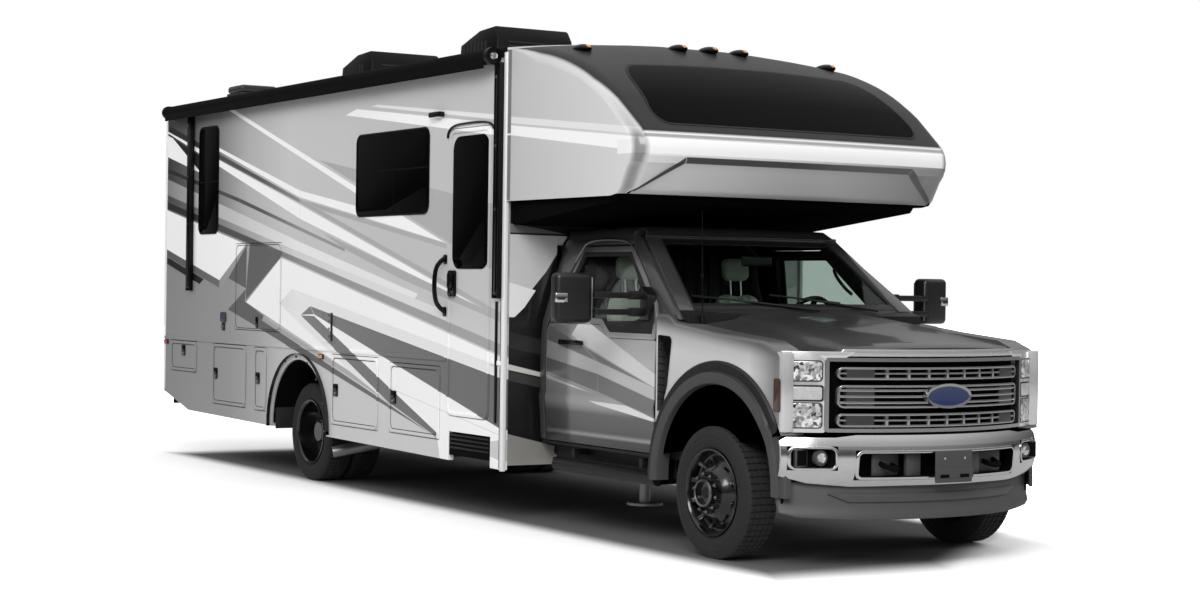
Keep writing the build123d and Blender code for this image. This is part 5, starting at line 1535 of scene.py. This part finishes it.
block(bm, -0.145, 0.150, -1.014, -1.019, 0.545, 0.600, 0.004, finish=2)
for x in (-0.075, 0.08):
    block(bm, x - 0.035, x + 0.035, -1.018, -1.0215, 0.545, 0.565, 0.003, finish=1)
    rod(bm, (x, -1.015, 0.66), (x, -1.020, 0.66), 0.008, 10)
piece("front_bumper_shell", bm, "coach", [chrome, black_liner, bracket_grey, reflector],
      ["front_bumper"], angle=35)


def valance_form(x, z, lift):
    return (x, -0.955 + nose(x) + 0.035 * within(z, 0.30, 0.40) - lift, z)


VALANCE = [(-0.985, 0.335), (-0.90, 0.312), (-0.6, 0.30), (0.6, 0.30), (0.90, 0.312), (0.985, 0.335),
           (0.985, 0.52), (-0.985, 0.52)]
bm = bmesh.new()
formed(bm, VALANCE, valance_form, -0.02, 0.0, NOSE_CUTS + [("b", 0.34), ("b", 0.40)], soft=0.006)
formed(bm, [(-0.62, 0.400), (0.62, 0.400), (0.74, 0.452), (-0.74, 0.452)], valance_form, -0.002, 0.014,
       NOSE_CUTS, soft=0.008)
piece("front_valance_shell", bm, "coach", valance_grey, ["front_valance"], angle=35)


# ---------------------------------------------------------------- wheels
# Truck tyres with blocky treads on black wheels: the front ones dished outward over a hub ring with
# ten nuts, the rear ones in pairs and dished inward.
tyre_rubber = plain("tyre_rubber", 24, 0.8, spread=0.25, scale=9, grain=0.35, grain_scale=240)
wheel_black = plain("wheel_black", 9, 0.2, spread=0.2, scale=8, rough_spread=0.08, Coat_Weight=0.4)
nut_steel = plain("nut_steel", 120, 0.3, spread=0.2, scale=60, Metallic=1.0)
SIDEWALL = [(0.094, 0.262), (0.107, 0.277), (0.112, 0.300), (0.1135, 0.318), (0.1155, 0.322), (0.1135, 0.326),
            (0.1135, 0.345), (0.115, 0.349), (0.113, 0.353), (0.110, 0.370), (0.104, 0.388)]
TREAD = [(0.097, 0.3945), (0.060, 0.3955), (0.020, 0.3955)]
TREAD_RADIUS, NUT_CIRCLE = 0.391, 0.116
FRONT_DISC = [(0.060, 0.258), (0.108, 0.262), (0.111, 0.270), (0.116, 0.268), (0.114, 0.258), (0.096, 0.246),
              (0.052, 0.236), (0.048, 0.226), (0.066, 0.196), (0.100, 0.158), (0.120, 0.142), (0.124, 0.136),
              (0.124, 0.094), (0.126, 0.086)]
FRONT_HUB = [(0.120, 0.090), (0.166, 0.086), (0.176, 0.082), (0.178, 0.076), (0.174, 0.071), (0.150, 0.069),
             (0.146, 0.001)]
REAR_DISC = [(0.060, 0.258), (0.108, 0.262), (0.111, 0.270), (0.116, 0.268), (0.114, 0.258), (0.100, 0.246),
             (0.010, 0.238), (-0.035, 0.222), (-0.055, 0.165), (-0.058, 0.086)]
REAR_HUB = [(-0.058, 0.090), (0.030, 0.086), (0.040, 0.078), (0.040, 0.001)]


def off_axle(face, centre):
    """A face's way out from the axle's line."""
    reach = face.calc_center_median() - Vector(centre)
    return Vector((0, reach.y, reach.z))


def turned(bm, section, centre, out, steps, finish=0):
    """Turns a section of (reach along the axle, radius) into a ring round the axle."""
    verts = [bm.verts.new((centre[0] + out * x, centre[1] + r, centre[2])) for x, r in section]
    strip = [bm.edges.new(pair) for pair in zip(verts, verts[1:])]
    before = len(bm.faces)
    bmesh.ops.spin(bm, geom=verts + strip, cent=centre, axis=(1, 0, 0), angle=2 * pi, steps=steps,
                   use_merge=True)
    bm.faces.ensure_lookup_table()
    made = bm.faces[before:]
    widest = max(made, key=lambda f: off_axle(f, centre).length)
    bmesh.ops.recalc_face_normals(bm, faces=made)
    if widest.normal.dot(off_axle(widest, centre)) < 0:
        bmesh.ops.reverse_faces(bm, faces=made)
    set_finish(made, finish)
    return made


def tyre(bm, centre):
    section = [(-x, r) for x, r in SIDEWALL + TREAD] + [(x, r) for x, r in reversed(SIDEWALL + TREAD)]
    made = turned(bm, section, centre, 1, 60)
    blocks = [f for f in made if off_axle(f, centre).length > TREAD_RADIUS]
    bmesh.ops.inset_individual(bm, faces=blocks, thickness=0.0045, depth=0.0098, use_even_offset=True)


def wheel(bm, centre, out, disc, hub, hub_face, ribs):
    """Disc, hub, ten nuts and, on a front wheel, raised ribs."""
    turned(bm, disc, centre, out, 48)
    turned(bm, hub, centre, out, 32)
    for index in range(10):
        angle = radians(36 * index + 9)
        y, z = centre[1] + NUT_CIRCLE * cos(angle), centre[2] + NUT_CIRCLE * sin(angle)
        foot = centre[0] + out * hub_face
        rod(bm, (foot, y, z), (foot + out * 0.034, y, z), 0.0135, 6, finish=1)
        rod(bm, (foot + out * 0.034, y, z), (foot + out * 0.044, y, z), 0.010, 8, 0.006, finish=1)
    for index in range(ribs):
        around = Matrix.Rotation(radians(360 / ribs * index), 4, "X")
        lean = Matrix.Translation((out * 0.083, 0, 0.192)) @ Matrix.Rotation(out * radians(52), 4, "Y")
        matrix = Matrix.Translation(centre) @ around @ lean @ Matrix.Diagonal((0.016, 0.030, 0.075, 1))
        made = bmesh.ops.create_cube(bm, size=1, matrix=matrix)
        soften(bm, edges_of(made["verts"]), 0.004)


TYRE_RADIUS, FRONT_X, INNER_X, OUTER_X = 0.405, 0.945, 0.811, 1.065
HUB_RING = [(0.166, 0.0875), (0.178, 0.0835), (0.1795, 0.077), (0.175, 0.072)]
for out, side in SIDES:
    front_centre = (out * FRONT_X, 0, TYRE_RADIUS)
    inner_centre, outer_centre = [(out * x, REAR_AXLE_Y, TYRE_RADIUS) for x in (INNER_X, OUTER_X)]
    front_body, rear_body = f"front_wheel_{side}", f"rear_wheels_{side}"
    bm = bmesh.new()
    tyre(bm, front_centre)
    piece(f"front_tread_{side}", bm, front_body, tyre_rubber, [f"front_tyre_{side}"])
    bm = bmesh.new()
    wheel(bm, front_centre, out, FRONT_DISC, FRONT_HUB, 0.122, 10)
    turned(bm, HUB_RING, front_centre, out, 40, finish=1)
    piece(f"front_wheel_disc_{side}", bm, front_body, [wheel_black, nut_steel],
          [f"front_rim_{side}"])
    bm = bmesh.new()
    tyre(bm, inner_centre)
    tyre(bm, outer_centre)
    piece(f"rear_tread_{side}", bm, rear_body, tyre_rubber, [f"rear_tyres_{side}"])
    bm = bmesh.new()
    wheel(bm, outer_centre, out, REAR_DISC, REAR_HUB, -0.058, 0)
    turned(bm, REAR_DISC, inner_centre, -out, 48)
    piece(f"rear_wheel_discs_{side}", bm, rear_body, [wheel_black, nut_steel],
          [f"rear_rims_{side}"])


# ---------------------------------------------------------------- door mirrors
# Tall black tow mirrors on two telescoping arms, each with a bright marker on the front of its
# housing and a silvered glass behind.
mirror_black = plain("mirror_black", 14, 0.35, grain=0.2, grain_scale=400)
mirror_silver = plain("mirror_silver", 190, 0.03, spread=0.04, scale=2, rough_spread=0.01, Metallic=1.0)
for out, side in SIDES:
    bm = bmesh.new()
    block(bm, -0.125, 0.125, -0.062, 0.060, -0.16, 0.16, 0.034, 5)
    block(bm, -0.1075, 0.1075, 0.059, 0.063, -0.07, 0.13, finish=1)
    block(bm, -0.10, 0.10, 0.059, 0.063, -0.15, -0.09, finish=1)
    block(bm, out * 0.045, out * 0.127, -0.068, -0.045, -0.032, 0.030, 0.006, finish=2)
    block(bm, out * 0.062, out * 0.118, -0.071, -0.060, -0.014, 0.006, 0.003, finish=3)
    block(bm, out * -0.128, out * -0.120, -0.05, -0.038, -0.14, 0.13, 0.003, finish=4)
    seat = Matrix.Translation((out * 1.49, 0.962, 1.58)) @ Matrix.Rotation(out * radians(12), 4, "Z")
    bmesh.ops.transform(bm, verts=bm.verts, matrix=seat)
    for z in (1.600, 1.492):
        block(bm, out * 1.00, out * 1.38, 0.850, 0.886, z - 0.020, z + 0.020, 0.008)
        block(bm, out * 0.965, out * 1.115, 0.842, 0.894, z - 0.028, z + 0.028, 0.010)
    slab(bm, [(0.80, 1.44), (0.905, 1.44), (0.895, 1.66), (0.80, 1.60)], "x", out * 0.93, out * 1.01,
         soft=0.008)
    finishes, body = [mirror_black, mirror_silver, chrome, black_rubber,
                      brushed_metal], f"cab_door_{side}_body"
    piece(f"mirror_{side}_housing", bm, body, finishes, [f"mirror_{side}"])



# ---------------------------------------------------------------- cab furniture
# Two leather seats with separate head restraints on chromed posts, a moulded dashboard, the
# steering wheel and a small mirror on the windshield.
leather = plain("leather", 205, 0.45, (0.96, 0.98, 0.86), spread=0.08, scale=14, grain=0.5, grain_scale=520,
                Specular_IOR_Level=0.4)
dash_plastic = plain("dash_plastic", 20, 0.6, grain=0.3, grain_scale=350)
PAD_VOXEL, PAD_PRESSURE, PAD_STEPS = 0.006, 4, 20


def swollen(shape, cap):
    """Puffs a closed form up as sewn foam by cloth simulation; no point moves more than cap."""
    mesh = bpy.data.meshes.new("pad")
    shape.to_mesh(mesh)
    shape.free()
    holder = bpy.data.objects.new("pad", mesh)
    scene.collection.objects.link(holder)
    remesh = holder.modifiers.new("remesh", "REMESH")
    remesh.mode, remesh.voxel_size = "VOXEL", PAD_VOXEL
    start = bpy.data.meshes.new_from_object(holder.evaluated_get(bpy.context.evaluated_depsgraph_get()))
    holder.modifiers.clear()
    holder.data = start
    cloth = holder.modifiers.new("cloth", "CLOTH")
    cloth.settings.use_pressure, cloth.settings.uniform_pressure_force = True, PAD_PRESSURE
    cloth.settings.effector_weights.gravity = 0
    for step in range(1, PAD_STEPS + 1):
        scene.frame_set(step)
    puffed = holder.evaluated_get(bpy.context.evaluated_depsgraph_get()).data
    moves = [puffed.vertices[v.index].co - v.co for v in start.vertices]
    holder.modifiers.clear()
    scene.frame_set(1)
    for vert, move in zip(start.vertices, moves):
        vert.co += move * min(1.0, cap / max(move.length, 1e-6))
    bm = bmesh.new()
    bm.from_mesh(start)
    bpy.data.objects.remove(holder)
    bmesh.ops.smooth_vert(bm, verts=bm.verts, factor=0.5, use_axis_x=True, use_axis_y=True, use_axis_z=True)
    return bm


def sewn(bm, seams, depth=0.007, width=0.006):
    """Draws the surface in along seams; a seam is a plane (x, y or z as 0-2, place) and a side test."""
    for axis, place, keep in seams:
        for vert in bm.verts:
            near = abs(vert.co[axis] - place)
            if near < 3 * width and keep(vert.co):
                vert.co -= vert.normal * depth * max(0.0, 1 - near / (3 * width)) ** 2
    return bm


shape = bmesh.new()
block(shape, -0.232, 0.232, -0.245, 0.245, -0.052, 0.052, 0.042, 4)
cushion = sewn(swollen(shape, 0.026), [(0, -0.13, lambda co: co.z > 0), (0, 0.13, lambda co: co.z > 0),
                                       (1, 0.10, lambda co: co.z > 0 and abs(co.x) < 0.13)])
shape = bmesh.new()
slab(shape, [(-0.20, -0.20), (0.20, -0.20), (0.222, 0.08), (0.16, 0.20), (-0.16, 0.20), (-0.222, 0.08)], "y",
     -0.040, 0.040, 0.06, 0.030)
back = sewn(swollen(shape, 0.026), [(0, -0.12, lambda co: co.y < 0), (0, 0.12, lambda co: co.y < 0),
                                    (2, -0.08, lambda co: co.y < 0 and abs(co.x) < 0.12)])
shape = bmesh.new()
slab(shape, rectangle(-0.110, 0.110, -0.080, 0.080), "y", -0.035, 0.035, 0.045, 0.026)
rest = swollen(shape, 0.022)
# Pads: name, form, place back from the front axle, height, lean in degrees.
PADS = [("cushion", cushion, 1.535, 1.175, 0), ("back", back, 1.850, 1.420, -8),
        ("head_rest", rest, 1.895, 1.786, -4)]
SEAT_X, PAD_FILL = 0.45, 0.6
for out, side in SIDES:
    for part_name, shape, y, z, lean in PADS:
        bm = shape.copy()
        seat = Matrix.Translation((out * SEAT_X, y, z)) @ Matrix.Rotation(radians(lean), 4, "X")
        bmesh.ops.transform(bm, verts=bm.verts, matrix=seat)
        pad = piece(f"seat_{part_name}_{side}", bm, "coach", leather, ["cab_seats"],
                    angle=180)
bm = bmesh.new()
for x in (-SEAT_X, SEAT_X):
    block(bm, x - 0.20, x + 0.20, 1.33, 1.76, 0.906, 1.115, 0.02)
    for post in (-0.045, 0.045):
        rod(bm, (x + post, 1.880, 1.60), (x + post, 1.893, 1.75), 0.007, 12, finish=1)
    block(bm, x - 0.19, x + 0.19, 1.895, 1.915, 1.24, 1.58, 0.01)
piece("seat_bases", bm, "coach", [cab_black, chrome], ["cab_seats"])
bm = bmesh.new()
block(bm, -0.84, 0.84, 2.170, 2.182, 1.105, 1.938, 0.004)
for fold in range(15):
    x = -0.77 + fold * 0.11
    block(bm, x - 0.030, x + 0.030, 2.158, 2.172, 1.115, 1.925, 0.010, 3)
piece("cab_partition", bm, "coach", cab_black, angle=45)

bm = bmesh.new()
slab(bm, [(0.50, 1.10), (0.79, 1.10), (0.80, 1.30), (0.76, 1.40), (0.66, 1.435), (0.49, 1.435)], "x", -0.88,
     0.88, soft=0.02)
block(bm, -0.15, 0.15, 0.76, 0.83, 1.00, 1.30, 0.02)
block(bm, 0.24, 0.66, 0.62, 0.84, 1.37, 1.47, 0.03, 3)
piece("dashboard_cover", bm, "coach", dash_plastic, ["dashboard"])
repaint("steering_wheel", cab_black)
bm = bmesh.new()
for out in (-1, 1):
    block(bm, out * 0.86, out * 0.875, 0.66, 2.16, 0.43, 0.63, 0.004)
piece("rocker_panels", bm, "coach", cab_black)
bm = bmesh.new()
block(bm, -0.125, 0.125, 1.00, 1.025, 1.80, 1.87, 0.012, 3)
rod(bm, (0, 1.01, 1.86), (0, 1.09, 1.93), 0.010, 10)
for out in (-1, 1):
    tube(bm, [(out * 0.80, 0.98, 1.62), (out * 0.775, 1.0, 1.64), (out * 0.74, 1.10, 1.75),
              (out * 0.755, 1.13, 1.79)], 0.012, 4)
piece("cab_mirror_and_grips", bm, "coach", cab_black)


# ---------------------------------------------------------------- chassis and running gear
# Painted steel frame and springs, cast axles and knuckles, a bare steel exhaust, a moulded tank,
# black steps with ribbed treads, and the stowage boxes' pale plastic.
chassis_black = plain("chassis_black", 16, 0.55, spread=0.3, scale=5, grain=0.2, grain_scale=150)
cast_iron = plain("cast_iron", 38, 0.65, spread=0.3, scale=12, grain=0.6, grain_scale=180, Metallic=0.5)
exhaust_steel = plain("exhaust_steel", 140, 0.4, spread=0.25, scale=8, Metallic=0.9)
tank_black = plain("tank_black", 14, 0.5, grain=0.2)
stowage_plastic = plain("stowage_plastic", 96, 0.6, grain=0.3)
floor_ply = plain("floor_ply", 50, 0.8, (1.0, 0.9, 0.75), spread=0.2, scale=3)
STRUCTURE = ("frame_rails", "frame_crossmembers", "hitch_receiver", "leaf_springs", "running_boards",
             "rear_bumper")
CASTINGS = ("engine_block", "front_axle", "rear_axle", "steering_knuckle_left", "steering_knuckle_right")
FINISHES = [
    (chassis_black, STRUCTURE), (cast_iron, CASTINGS), (black_liner, ("entry_step",)),
    (exhaust_steel, ("exhaust_pipe", "levelling_jacks")), (tank_black, ("fuel_tank",)),
    (stowage_plastic, ("storage_bays",)), (floor_ply, ("coach_floor",)),
]
for finish, nodes in FINISHES:
    for node in nodes:
        repaint(node, finish)

bm = bmesh.new()
for out in (-1, 1):
    block(bm, out * 0.925, out * 1.030, 0.700, 1.955, 0.440, 0.476, 0.012)
    for rib in range(24):
        y = 0.76 + rib * 0.048
        block(bm, out * 0.935, out * 1.020, y, y + 0.018, 0.476, 0.480, 0.001, finish=1)
piece("step_treads", bm, "coach", [satin_black, black_rubber])
bm = bmesh.new()
for z in (0.470, 0.500, 0.530, 0.560):
    block(bm, -1.283, -1.287, 2.40, 2.98, z, z + 0.014, 0.002)
piece("entry_step_ribs", bm, "entry_step_body", cab_black)


# ---------------------------------------------------------------- rear end
# Two stacked tail lamps and a plain black bumper; the rear wall carries the side's film bands.
bm = bmesh.new()
for out in (-1, 1):
    slab(bm, about(out * 1.15, 1.09, 0.07, 0.09), "y", COACH_REAR_Y, COACH_REAR_Y + 0.010, 0.02, 0.003)
    for z, half, lens in ((1.12, 0.05, 1), (1.035, 0.025, 2)):
        slab(bm, about(out * 1.15, z, 0.06, half), "y", COACH_REAR_Y + 0.006, COACH_REAR_Y + 0.020, 0.015,
             0.004, finish=lens)
piece("tail_lamp_units", bm, "coach", [black_plastic, red_lens, clear_lens], ["tail_lamps"])
bm = bmesh.new()
for x in (-0.80, -0.26, 0.0, 0.26, 0.80):
    slab(bm, rectangle(x - 0.05, x + 0.05, 3.19, 3.225), "y", 8.879, 8.895, 0.012, 0.003, finish=1)
block(bm, -0.16, 0.16, 8.879, 8.886, 0.78, 0.93, 0.004)
ring(bm, (-0.565, 0.565, 2.135, 2.665), "y", 8.878, 8.888, 0.022, 0.075, 0.003)
piece("rear_fittings", bm, "coach", [black_plastic, red_lens])
